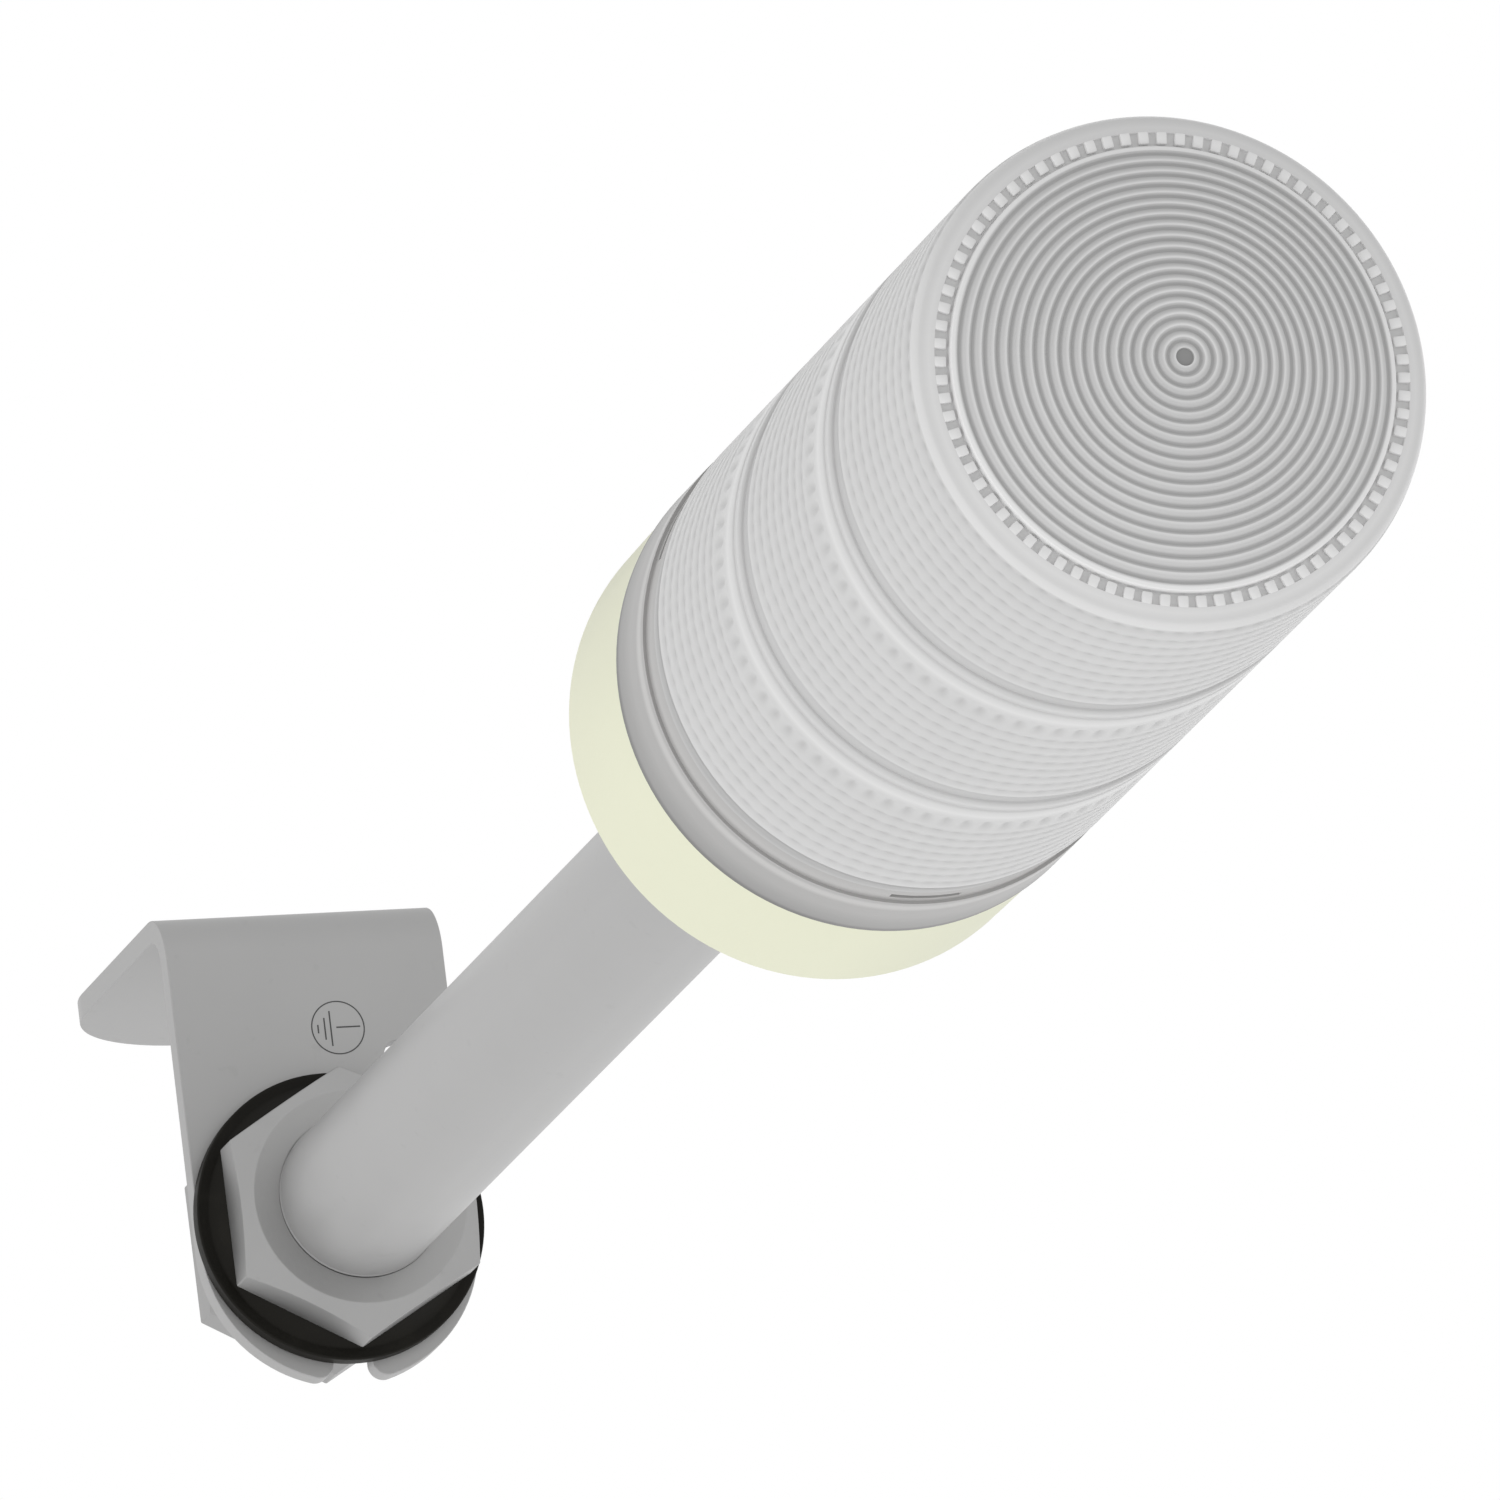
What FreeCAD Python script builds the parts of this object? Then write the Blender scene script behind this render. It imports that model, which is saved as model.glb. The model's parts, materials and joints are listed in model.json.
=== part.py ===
import FreeCAD, Part
import os
import re

import Sketcher

# A three-tier signal tower on a tube, clamped by two nuts to an L-shaped wall bracket.
# The wall face of the bracket lies in the plane Y = 0, and the tower stands in front of it,
# towards -Y. The origin is midway between the two fixing holes, and +Z runs up the tube.

DRIVING_SIZES = {
    # tube
    "pole_diameter": 21.7,
    "pole_wall": 1.6,
    "pole_free_length": 225.8,
    "pole_tail": 3.0,
    "pole_socket_depth": 15.0,
    "pole_edge": 0.4,
    # clearances
    "thread_gap": 0.05,
    "slip_gap": 0.1,
    "seal_gap": 0.1,
    # bracket
    "sheet_thickness": 3.0,
    "plate_width": 37.6,
    "plate_top": 32.0,
    "pole_offset": 43.2,
    "bend_radius": 7.0,
    "flange_height": 61.3,
    "plate_overhang": 2.9,
    "slot_width": 5.3,
    "slot_lip": 2.0,
    "earth_hole": 4.2,
    "earth_across": 11.2,
    "earth_reach": 21.8,
    "fixing_hole": 6.5,
    "fixing_spacing": 25.0,
    # nuts and washers
    "nut_flats": 31.8,
    "nut_thickness": 8.0,
    "nut_face": 28.9,
    "nut_slope": 1.3,
    "nut_turn": 0.3,
    "gasket_diameter": 38.8,
    "gasket_rim": 2.5,
    "gasket_thickness": 4.7,
    "gasket_seat": 31.0,
    "flat_washer_diameter": 30.0,
    "flat_washer_thickness": 1.6,
    "lock_washer_diameter": 28.0,
    "lock_washer_thickness": 1.8,
    "lock_washer_split": 2.0,
    # cable bush
    "bush_flange": 1.5,
    "bush_depth": 8.0,
    "bush_wall": 1.5,
    # base
    "tower_diameter": 64.8,
    "base_inset": 0.3,
    "base_draft": 0.3,
    "base_height": 25.5,
    "base_edge": 0.5,
    "base_floor": 3.0,
    "register_height": 3.0,
    "register_wall": 1.4,
    "boss_wall": 3.6,
    "boss_lid": 5.0,
    "cable_hole": 14.0,
    "screw_diameter": 4.0,
    "screw_height": 9.0,
    # spacer ring
    "ring_height": 12.7,
    "ring_neck": 3.8,
    "neck_recess": 0.45,
    "slit_length": 9.0,
    "slit_height": 1.2,
    "slit_lift": 1.0,
    "slit_turn": -1.2,
    "slit_count": 3,
    # lens tiers
    "tier_height": 42.0,
    "lens_wall": 2.0,
    "taper_height": 3.7,
    "taper_depth": 0.45,
    "lip_groove": 0.3,
    "upper_lip": 2.9,
    "seal_height": 4.0,
    "seal_wall": 1.5,
    # roof of the top tier
    "roof_rim_inset": 4.65,
    "roof_rim_drop": 4.6,
    "roof_rise": 5.4,
    "roof_thickness": 2.0,
    "roof_eye": 2.7,
    "ring_count": 18,
    "ring_depth": 0.3,
    "ring_lead": 0.25,
    "rim_height": 0.5,
    "rim_width": 0.7,
    "bead_count": 80,
    "bead_channel": 0.4,
    "bead_gap": 1.0,
    "bead_length": 1.4,
    "bead_height": 0.6,
    "shoulder_drop": 3.2,
    "shoulder_bevel": 1.3,
    "crown_depth": 7.0,
    "crown_inset": 3.0,
    # light unit
    "board_thickness": 1.6,
    "board_gap": 1.0,
    "block_length": 26.0,
    "block_breadth": 6.0,
    "block_height": 7.0,
    "carrier_flats": 30.0,
    "carrier_wall": 2.0,
    "carrier_relief": 9.0,
    "led_board_width": 13.0,
    "led_board_height": 30.0,
    "led_board_lift": 1.5,
    "led_size": 5.0,
    "led_height": 1.6,
    "led_rows": 2,
    "led_pitch": 15.0,
    "rod_diameter": 3.0,
    "rod_offset": 9.5,
    "rod_grip": 4.0,
    "rod_end": 1.0,
    "rod_nut_flats": 5.5,
    "rod_nut_thickness": 2.4,
}

document = FreeCAD.newDocument("SignalTower")
sheet = document.addObject("Spreadsheet::Sheet", "Sizes")
for row, (alias, size) in enumerate(DRIVING_SIZES.items(), start=1):
    sheet.set(f"A{row}", alias)
    sheet.set(f"B{row}", str(size))
    sheet.setAlias(f"B{row}", alias)
document.recompute()

# Heights above the origin, from the bottom of the tube up.
GASKET_TOP = "plate_top + gasket_thickness"
PLATE_UNDERSIDE = "plate_top - sheet_thickness"
FLAT_WASHER_BOTTOM = f"{PLATE_UNDERSIDE} - flat_washer_thickness"
LOCK_WASHER_BOTTOM = f"{FLAT_WASHER_BOTTOM} - lock_washer_thickness"
LOWER_NUT_BOTTOM = f"{LOCK_WASHER_BOTTOM} - nut_thickness"
POLE_BOTTOM = f"{LOWER_NUT_BOTTOM} - pole_tail"
BASE_BOTTOM = f"{GASKET_TOP} + nut_thickness + pole_free_length"
POLE_TOP = f"{BASE_BOTTOM} + pole_socket_depth"
BOSS_TOP = f"{POLE_TOP} + boss_lid"
BASE_TOP = f"{BASE_BOTTOM} + base_height"
LENS_BOTTOM = f"{BASE_TOP} + ring_height + ring_neck"
TIERS = ("bottom", "middle", "top")

# Half of the angle that one side of a hexagon spans, in degrees.
HALF_SIDE_ANGLE = 30

POLE_RADIUS = "pole_diameter / 2"
POLE_BORE = "(pole_diameter / 2 - pole_wall)"
TOWER_RADIUS = "tower_diameter / 2"
LENS_BORE = "(tower_diameter / 2 - lens_wall)"
BOSS_RADIUS = "(pole_diameter / 2 + slip_gap + boss_wall)"


def in_sheet(expression):
    """The expression with each size's name replaced by its cell in the sheet."""
    return re.sub(
        r"[a-z_]+",
        lambda word: f"Sizes.{word.group()}" if word.group() in DRIVING_SIZES else word.group(),
        str(expression),
    )


def value(expression):
    """The number that an expression of sizes gives at present."""
    return float(sheet.evalExpression(in_sheet(expression)))


def bind(item, **properties):
    """Tie properties of a document object to expressions of sizes."""
    for name, expression in properties.items():
        item.setExpression(name, in_sheet(expression))
    return item


def place(item, label, height, forward="pole_offset", turn=0):
    """Name a finished sub-part and put it on the tube's axis at a height."""
    item.Label = label
    item.Placement = FreeCAD.Placement(
        FreeCAD.Vector(0, -value(forward), value(height)),
        FreeCAD.Rotation(FreeCAD.Vector(0, 0, 1), value(turn)),
    )
    item.setExpression("Placement.Base.y", in_sheet(f"-({forward})"))
    item.setExpression("Placement.Base.z", in_sheet(height))
    if turn:
        item.setExpression("Placement.Rotation.Angle", in_sheet(turn))
    sub_parts.append(item)
    return item


sub_parts = []


# ---- sketches and features of PartDesign bodies ----


def new_body(name):
    return document.addObject("PartDesign::Body", name)


def new_sketch(body, name, plane, height="0"):
    """Empty sketch on one of the body's origin planes, raised by a height along the normal."""
    sketch = body.newObject("Sketcher::SketchObject", name)
    support = [item for item in body.Origin.OriginFeatures if item.Role == plane]
    sketch.AttachmentSupport = [(support[0], "")]
    sketch.MapMode = "FlatFace"
    sketch.setExpression("AttachmentOffset.Base.z", in_sheet(height))
    return sketch


def hold(sketch, geometry, point, across, up):
    """Fix a point of a sketch by its two distances from the sketch's origin."""
    for kind, expression in (("DistanceX", across), ("DistanceY", up)):
        index = sketch.addConstraint(
            Sketcher.Constraint(kind, -1, 1, geometry, point, value(expression))
        )
        sketch.setExpression(f"Constraints[{index}]", in_sheet(expression))


def polygon(sketch, corners):
    """Closed outline of straight lines, with each corner given by two expressions."""
    points = [FreeCAD.Vector(value(across), value(up), 0) for across, up in corners]
    first = sketch.GeometryCount
    for start, end in zip(points, points[1:] + points[:1]):
        sketch.addGeometry(Part.LineSegment(start, end))
    for index, (across, up) in enumerate(corners):
        following = (index + 1) % len(corners)
        sketch.addConstraint(
            Sketcher.Constraint("Coincident", first + index, 2, first + following, 1)
        )
        hold(sketch, first + index, 1, across, up)
    return sketch


def circle(sketch, across, up, radius):
    """Circle with its centre and radius given by expressions."""
    centre = FreeCAD.Vector(value(across), value(up), 0)
    index = sketch.addGeometry(Part.Circle(centre, FreeCAD.Vector(0, 0, 1), value(radius)))
    hold(sketch, index, 3, across, up)
    limit = sketch.addConstraint(Sketcher.Constraint("Radius", index, value(radius)))
    sketch.setExpression(f"Constraints[{limit}]", in_sheet(radius))
    return sketch


def revolve(body, name, corners):
    """Solid of revolution about the body's Z axis; corners are (radius, height)."""
    profile = polygon(new_sketch(body, f"{name}_profile", "XZ_Plane"), corners)
    feature = body.newObject("PartDesign::Revolution", f"{name}_turned")
    feature.Profile = profile
    feature.ReferenceAxis = (profile, ["V_Axis"])
    feature.Angle = 360
    body.Tip = feature
    return feature


def pocket(body, sketch, depth=None, reverse=False, both=False):
    """Cut a sketch out of its body, through everything or to a depth."""
    feature = body.newObject("PartDesign::Pocket", f"{sketch.Name}_pocket")
    feature.Profile = sketch
    feature.Reversed = reverse
    feature.Midplane = both
    if depth is None:
        feature.Type = "ThroughAll"
    else:
        feature.Type = "Length"
        feature.setExpression("Length", in_sheet(depth))
    body.Tip = feature
    return feature


def pad(body, sketch, length, both=False, reverse=False):
    feature = body.newObject("PartDesign::Pad", f"{sketch.Name}_pad")
    feature.Profile = sketch
    feature.Midplane = both
    feature.Reversed = reverse
    feature.setExpression("Length", in_sheet(length))
    body.Tip = feature
    return feature


def ring_pattern(body, feature, count):
    """Repeat a cut round the body's Z axis."""
    pattern = body.newObject("PartDesign::PolarPattern", f"{feature.Name}_pattern")
    axis = [item for item in body.Origin.OriginFeatures if item.Role == "Z_Axis"]
    pattern.Originals = [feature]
    pattern.Axis = (axis[0], [""])
    pattern.Angle = 360
    pattern.setExpression("Occurrences", in_sheet(count))
    body.Tip = pattern
    return pattern


def round_edges(body, name, radius, wanted):
    """Fillet the edges of the body's tip that a test on the edge picks."""
    document.recompute()
    base = body.Tip
    names = [
        f"Edge{number}"
        for number, edge in enumerate(base.Shape.Edges, start=1)
        if wanted(edge)
    ]
    feature = body.newObject("PartDesign::Fillet", name)
    feature.Base = (base, names)
    feature.setExpression("Radius", in_sheet(radius))
    body.Tip = feature
    return feature


# ---- Part primitives ----


def cylinder(name, radius, height, base="0"):
    item = document.addObject("Part::Cylinder", name)
    bind(item, Radius=radius, Height=height)
    item.setExpression("Placement.Base.z", in_sheet(base))
    return item


def cone(name, lower_radius, upper_radius, height, base="0"):
    item = document.addObject("Part::Cone", name)
    bind(item, Radius1=lower_radius, Radius2=upper_radius, Height=height)
    item.setExpression("Placement.Base.z", in_sheet(base))
    return item


def box(name, length, width, height, base="0"):
    """Box centred on the Z axis, with its bottom at a height."""
    item = document.addObject("Part::Box", name)
    bind(item, Length=length, Width=width, Height=height)
    item.setExpression("Placement.Base.x", in_sheet(f"-({length}) / 2"))
    item.setExpression("Placement.Base.y", in_sheet(f"-({width}) / 2"))
    item.setExpression("Placement.Base.z", in_sheet(base))
    return item


def prism(name, flats, height):
    """Hexagonal prism on the Z axis, measured across its flats, with one flat facing +X."""
    item = document.addObject("Part::Prism", name)
    item.Polygon = 6
    bind(item, Circumradius=f"({flats}) / 2 / cos({HALF_SIDE_ANGLE})", Height=height)
    item.Placement.Rotation = FreeCAD.Rotation(FreeCAD.Vector(0, 0, 1), HALF_SIDE_ANGLE)
    return item


def combine(kind, name, base, tool):
    """Cut, Common or Fuse of two items."""
    item = document.addObject(f"Part::{kind}", name)
    item.Base = base
    item.Tool = tool
    return item


def bored_disc(label, radius, bore_radius, thickness):
    """Flat ring standing on the XY plane."""
    disc = cylinder(f"{label}_disc", radius, thickness)
    bore = cylinder(f"{label}_bore", bore_radius, thickness)
    return combine("Cut", f"{label}_ring", disc, bore)


# ---- bracket and what clamps the tube to it ----


def wall_bracket():
    """Folded strip with round ends: a plate for the tube and a flange for the wall."""
    body = new_body("bracket")
    end_radius = "plate_width / 2"
    plate_end = "-pole_offset - plate_overhang"
    flange_end = f"plate_top - flange_height + {end_radius}"
    section = polygon(
        new_sketch(body, "bracket_section", "YZ_Plane"),
        [
            ("0", "plate_top"),
            ("0", flange_end),
            ("-sheet_thickness", flange_end),
            ("-sheet_thickness", PLATE_UNDERSIDE),
            (plate_end, PLATE_UNDERSIDE),
            (plate_end, "plate_top"),
        ],
    )
    pad(body, section, "plate_width", both=True)
    round_plate = new_sketch(body, "plate_end", "XY_Plane", PLATE_UNDERSIDE)
    pad(body, circle(round_plate, "0", plate_end, end_radius), "sheet_thickness")
    round_flange = new_sketch(body, "flange_end", "XZ_Plane")
    pad(body, circle(round_flange, "0", flange_end, end_radius), "sheet_thickness")

    def runs_across(edge, y, z):
        middle = edge.BoundBox.Center
        straight = edge.BoundBox.XLength > value("plate_width") - 0.01
        return straight and abs(middle.y - y) < 0.01 and abs(middle.z - z) < 0.01

    round_edges(
        body,
        "outer_bend",
        "bend_radius",
        lambda edge: runs_across(edge, 0, value("plate_top")),
    )
    round_edges(
        body,
        "inner_bend",
        "bend_radius - sheet_thickness",
        lambda edge: runs_across(edge, -value("sheet_thickness"), value(PLATE_UNDERSIDE)),
    )
    bore = new_sketch(body, "pole_hole", "XY_Plane", "plate_top")
    pocket(
        body,
        circle(bore, "0", "-pole_offset", f"{POLE_RADIUS} + slip_gap"),
        "sheet_thickness",
    )
    slot = polygon(
        new_sketch(body, "cable_slot", "XY_Plane", "plate_top"),
        [
            ("-slot_width / 2", "-pole_offset"),
            ("slot_width / 2", "-pole_offset"),
            ("slot_width / 2", "-pole_offset - plate_width"),
            ("-slot_width / 2", "-pole_offset - plate_width"),
        ],
    )
    pocket(body, slot, "sheet_thickness")
    mouth = value(f"-pole_offset - {end_radius}")
    round_edges(
        body,
        "slot_lips",
        "slot_lip",
        lambda edge: edge.BoundBox.ZLength > value("sheet_thickness") / 2
        and edge.BoundBox.XLength + edge.BoundBox.YLength < 0.01
        and edge.BoundBox.Center.y < mouth,
    )
    earth = new_sketch(body, "earth_terminal", "XY_Plane", "plate_top")
    pocket(
        body,
        circle(earth, "earth_across", "-pole_offset + earth_reach", "earth_hole / 2"),
        "sheet_thickness",
    )
    fixing = new_sketch(body, "fixing_holes", "XZ_Plane")
    for side in ("-", ""):
        circle(fixing, "0", f"{side}fixing_spacing / 2", "fixing_hole / 2")
    pocket(body, fixing, "sheet_thickness", reverse=True)
    body.Label = "wall_bracket"
    sub_parts.append(body)


def clamping_nuts():
    for label, height in (("upper_nut", GASKET_TOP), ("lower_nut", LOWER_NUT_BOTTOM)):
        clamping_nut(label, height)


def clamping_nut(label, height):
    """Plain hexagon nut with its corners turned down on the upper side."""
    blank = prism(f"{label}_blank", "nut_flats", "nut_thickness")
    corners = cone(
        f"{label}_corners",
        "nut_face / 2 + nut_thickness * nut_slope",
        "nut_face / 2",
        "nut_thickness",
    )
    turned = combine("Common", f"{label}_turned", blank, corners)
    bore = cylinder(f"{label}_bore", f"{POLE_RADIUS} + thread_gap", "nut_thickness")
    place(combine("Cut", f"{label}_bored", turned, bore), label, height, turn="nut_turn")


def rubber_washer():
    """Soft disc on the plate, thicker under the nut than at its rim."""
    body = new_body("gasket")
    bore = f"{POLE_RADIUS} + slip_gap"
    step = "gasket_thickness - gasket_rim"
    revolve(
        body,
        "gasket",
        [
            (bore, "0"),
            ("gasket_diameter / 2", "0"),
            ("gasket_diameter / 2", "gasket_rim"),
            (f"gasket_seat / 2 + {step}", "gasket_rim"),
            ("gasket_seat / 2", "gasket_thickness"),
            (bore, "gasket_thickness"),
        ],
    )
    place(body, "rubber_washer", "plate_top")


def steel_washers():
    """Flat washer under the plate and a split lock washer under that."""
    bore = f"{POLE_RADIUS} + slip_gap"
    flat = bored_disc("flat_washer", "flat_washer_diameter / 2", bore, "flat_washer_thickness")
    place(flat, "flat_washer", FLAT_WASHER_BOTTOM)

    closed = bored_disc("lock_washer", "lock_washer_diameter / 2", bore, "lock_washer_thickness")
    split = document.addObject("Part::Box", "lock_washer_gap")
    bind(
        split,
        Length="lock_washer_diameter",
        Width="lock_washer_split",
        Height="lock_washer_thickness",
    )
    split.setExpression("Placement.Base.y", in_sheet("-lock_washer_split / 2"))
    place(combine("Cut", "lock_washer_open", closed, split), "lock_washer", LOCK_WASHER_BOTTOM)


def pole():
    """Plain tube with its two outer edges broken."""
    length = f"{POLE_TOP} - ({POLE_BOTTOM})"
    bare = combine(
        "Cut",
        "pole_tube",
        cylinder("pole_outside", POLE_RADIUS, length),
        cylinder("pole_inside", POLE_BORE, length),
    )
    document.recompute()
    edges = [
        (number, value("pole_edge"), value("pole_edge"))
        for number, edge in enumerate(bare.Shape.Edges, start=1)
        if edge.Closed and abs(edge.Curve.Radius - value(POLE_RADIUS)) < 1e-6
    ]
    broken = document.addObject("Part::Chamfer", "pole_broken_edges")
    broken.Base = bare
    broken.Edges = edges
    place(broken, "pole", POLE_BOTTOM)


def cable_bush():
    """Flanged plastic bush that guards the cable at the tube's lower end."""
    body = new_body("bush")
    outside = f"({POLE_BORE} - thread_gap)"
    revolve(
        body,
        "bush",
        [
            (f"{outside} - bush_wall", "0"),
            (POLE_RADIUS, "0"),
            (POLE_RADIUS, "bush_flange"),
            (outside, "bush_flange"),
            (outside, "bush_flange + bush_depth"),
            (f"{outside} - bush_wall", "bush_flange + bush_depth"),
        ],
    )
    place(body, "cable_bush", f"{POLE_BOTTOM} - bush_flange")


# ---- base and spacer ring ----


def base_housing():
    """Moulded cup with a register for the ring above and a boss that holds the tube."""
    body = new_body("housing")
    rim = f"({TOWER_RADIUS} - base_inset)"
    foot = f"{rim} - base_draft"
    inside = f"({LENS_BORE} - register_wall)"
    register = f"({LENS_BORE} - seal_gap)"
    revolve(
        body,
        "housing",
        [
            (f"{POLE_RADIUS} + slip_gap", "0"),
            (f"{foot} - base_edge", "0"),
            (foot, "base_edge"),
            (rim, "base_height"),
            (register, "base_height"),
            (register, "base_height + register_height"),
            (inside, "base_height + register_height"),
            (inside, "base_floor"),
            (BOSS_RADIUS, "base_floor"),
            (BOSS_RADIUS, "pole_socket_depth + boss_lid"),
            ("cable_hole / 2", "pole_socket_depth + boss_lid"),
            ("cable_hole / 2", "pole_socket_depth"),
            (f"{POLE_RADIUS} + slip_gap", "pole_socket_depth"),
        ],
    )
    screw_hole = circle(
        new_sketch(body, "screw_hole", "XZ_Plane"), "0", "screw_height", "screw_diameter / 2"
    )
    pocket(body, screw_hole, BOSS_RADIUS)
    rod_holes = new_sketch(body, "rod_holes", "XY_Plane", "pole_socket_depth + boss_lid")
    for side in ("-", ""):
        circle(rod_holes, f"{side}rod_offset", "0", "rod_diameter / 2 + thread_gap")
    pocket(body, rod_holes, "rod_grip")
    place(body, "base_housing", BASE_BOTTOM)


def pole_screw():
    """Headless screw through the boss, tight against the tube."""
    item = document.addObject("Part::Cylinder", "pole_screw_shank")
    bind(item, Radius="screw_diameter / 2 - thread_gap", Height="boss_wall + slip_gap")
    item.Label = "pole_screw"
    item.Placement = FreeCAD.Placement(
        FreeCAD.Vector(0, 0, 0), FreeCAD.Rotation(FreeCAD.Vector(1, 0, 0), -90)
    )
    item.setExpression("Placement.Base.y", in_sheet(f"-pole_offset + {POLE_RADIUS}"))
    item.setExpression("Placement.Base.z", in_sheet(f"{BASE_BOTTOM} + screw_height"))
    sub_parts.append(item)


def spacer_ring():
    """Clear ring with a narrower neck and three short slits through the neck."""
    body = new_body("spacer")
    neck = "(tower_diameter / 2 - neck_recess)"
    revolve(
        body,
        "spacer",
        [
            (LENS_BORE, "0"),
            (TOWER_RADIUS, "0"),
            (TOWER_RADIUS, "ring_height"),
            (neck, "ring_height"),
            (neck, "ring_height + ring_neck"),
            (LENS_BORE, "ring_height + ring_neck"),
        ],
    )
    low = "ring_height + slit_lift"
    high = f"{low} + slit_height"
    slit = polygon(
        new_sketch(body, "slit", "XZ_Plane"),
        [
            ("-slit_length / 2", low),
            ("slit_length / 2", low),
            ("slit_length / 2", high),
            ("-slit_length / 2", high),
        ],
    )
    cut = pocket(body, slit, TOWER_RADIUS, reverse=True)
    ring_pattern(body, cut, "slit_count")
    place(body, "spacer_ring", BASE_TOP, turn="slit_turn")


# ---- lens tiers ----


def tier_base(tier):
    return f"{LENS_BOTTOM} + {tier} * tier_height"


def tier_skirt():
    """Outer outline of a tier up to its smooth upper lip."""
    return [
        (f"{TOWER_RADIUS} - taper_depth", "0"),
        (TOWER_RADIUS, "taper_height"),
        (TOWER_RADIUS, "tier_height - upper_lip - lip_groove"),
        (f"{TOWER_RADIUS} - lip_groove", "tier_height - upper_lip"),
        (TOWER_RADIUS, "tier_height - upper_lip + lip_groove"),
    ]


def open_tiers():
    """Lens tubes of the two lower tiers, open at both ends."""
    for tier in (0, 1):
        name = f"lens_{TIERS[tier]}"
        body = new_body(f"{name}_body")
        corners = [(LENS_BORE, "0")] + tier_skirt()
        corners += [(TOWER_RADIUS, "tier_height"), (LENS_BORE, "tier_height")]
        revolve(body, name, corners)
        place(body, name, tier_base(tier))


def dome_height(radius, rim, rim_level):
    """Height of the roof at a radius: a shallow parabola that starts level with the rim's top."""
    rise = "(roof_rise - rim_height)"
    return f"{rim_level} + rim_height + {rise} * (1 - ({radius} / {rim}) ^ 2)"


def roof_rings(rim, rim_level):
    """Outline of the ringed roof from its rim to its eye: crests with grooves between them."""
    first = f"({rim} - rim_width)"
    pitch = f"({first} - roof_eye / 2) / ring_count"
    corners = []
    for ring in range(int(value("ring_count"))):
        crest = f"({first} - {ring} * {pitch})"
        groove = f"({first} - ({ring} + ring_lead) * {pitch})"
        if ring:
            corners.append((crest, dome_height(crest, rim, rim_level)))
        corners.append((groove, f"{dome_height(groove, rim, rim_level)} - ring_depth"))
    return corners


def top_tier():
    """Closed lens: a ringed shallow roof inside a bright rim, with a row of beads round it."""
    body = new_body("lens_top_body")
    rim = f"({TOWER_RADIUS} - roof_rim_inset)"
    rim_level = "(tier_height - roof_rim_drop)"
    bead_inner = f"({rim} + bead_channel)"
    bead_outer = f"({rim} + bead_channel + bead_length)"
    ledge = f"({rim_level} - bead_height)"
    crown = f"({rim_level} - crown_depth)"

    outer_wall = [(LENS_BORE, "0")] + tier_skirt()[:2]
    outer_wall += [
        (TOWER_RADIUS, f"{ledge} - shoulder_drop"),
        (f"{TOWER_RADIUS} - shoulder_bevel / 4", f"{ledge} - shoulder_bevel"),
        (f"{TOWER_RADIUS} - shoulder_bevel", ledge),
    ]
    bead_band = [
        (bead_outer, rim_level),
        (bead_inner, rim_level),
        (bead_inner, ledge),
        (rim, ledge),
    ]
    bright_rim = [
        (rim, f"{rim_level} + rim_height"),
        (f"{rim} - rim_width", f"{rim_level} + rim_height"),
    ]
    roof_inside = [
        ("roof_eye / 2", f"{rim_level} + roof_rise"),
        ("0", f"{rim_level} + roof_rise"),
        ("0", f"{rim_level} + roof_rise - roof_thickness"),
        (f"{LENS_BORE} - crown_inset", f"{ledge} - roof_thickness"),
        (LENS_BORE, crown),
    ]
    corners = outer_wall + bead_band + bright_rim + roof_rings(rim, rim_level) + roof_inside
    revolve(body, "lens_top", corners)
    notch = polygon(
        new_sketch(body, "bead_notch", "XY_Plane", rim_level),
        [
            (f"{bead_inner} - bead_channel / 2", "-bead_gap / 2"),
            (bead_outer, "-bead_gap / 2"),
            (bead_outer, "bead_gap / 2"),
            (f"{bead_inner} - bead_channel / 2", "bead_gap / 2"),
        ],
    )
    ring_pattern(body, pocket(body, notch, "bead_height"), "bead_count")
    place(body, "lens_top", tier_base(2))


def lens_seals():
    """Rubber sleeve inside each joint, half above and half below it."""
    for tier, label in enumerate(("lower_seal", "middle_seal", "upper_seal")):
        outside = cylinder(f"{label}_outside", f"{LENS_BORE} - seal_gap", "seal_height")
        inside = cylinder(f"{label}_inside", f"{LENS_BORE} - seal_gap - seal_wall", "seal_height")
        ring = combine("Cut", f"{label}_ring", outside, inside)
        place(ring, label, f"{tier_base(tier)} - seal_height / 2")


# ---- light unit ----


def terminal_parts():
    """Circuit board on the boss, with the terminal block hanging from its underside."""
    board = bored_disc(
        "terminal_board",
        f"({LENS_BORE} - register_wall - board_gap)",
        "cable_hole / 2",
        "board_thickness",
    )
    drilled = drill_for_rods("terminal_board", board, "board_thickness")
    place(drilled, "terminal_board", BOSS_TOP)

    block = box("terminal_block_body", "block_length", "block_breadth", "block_height")
    place(
        block,
        "terminal_block",
        f"{BOSS_TOP} - block_height",
        forward=f"pole_offset + {BOSS_RADIUS} + slip_gap + block_breadth",
    )
    block.setExpression("Placement.Base.x", in_sheet("-block_length / 2"))


def drill_for_rods(label, item, depth):
    """Two clearance holes for the tie rods, upwards from the XY plane."""
    for side in ("-", ""):
        drill = cylinder(f"{label}_drill", "rod_diameter / 2 + slip_gap", depth)
        drill.setExpression("Placement.Base.x", in_sheet(f"{side}rod_offset"))
        item = combine("Cut", f"{label}_drilled", item, drill)
    return item


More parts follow.
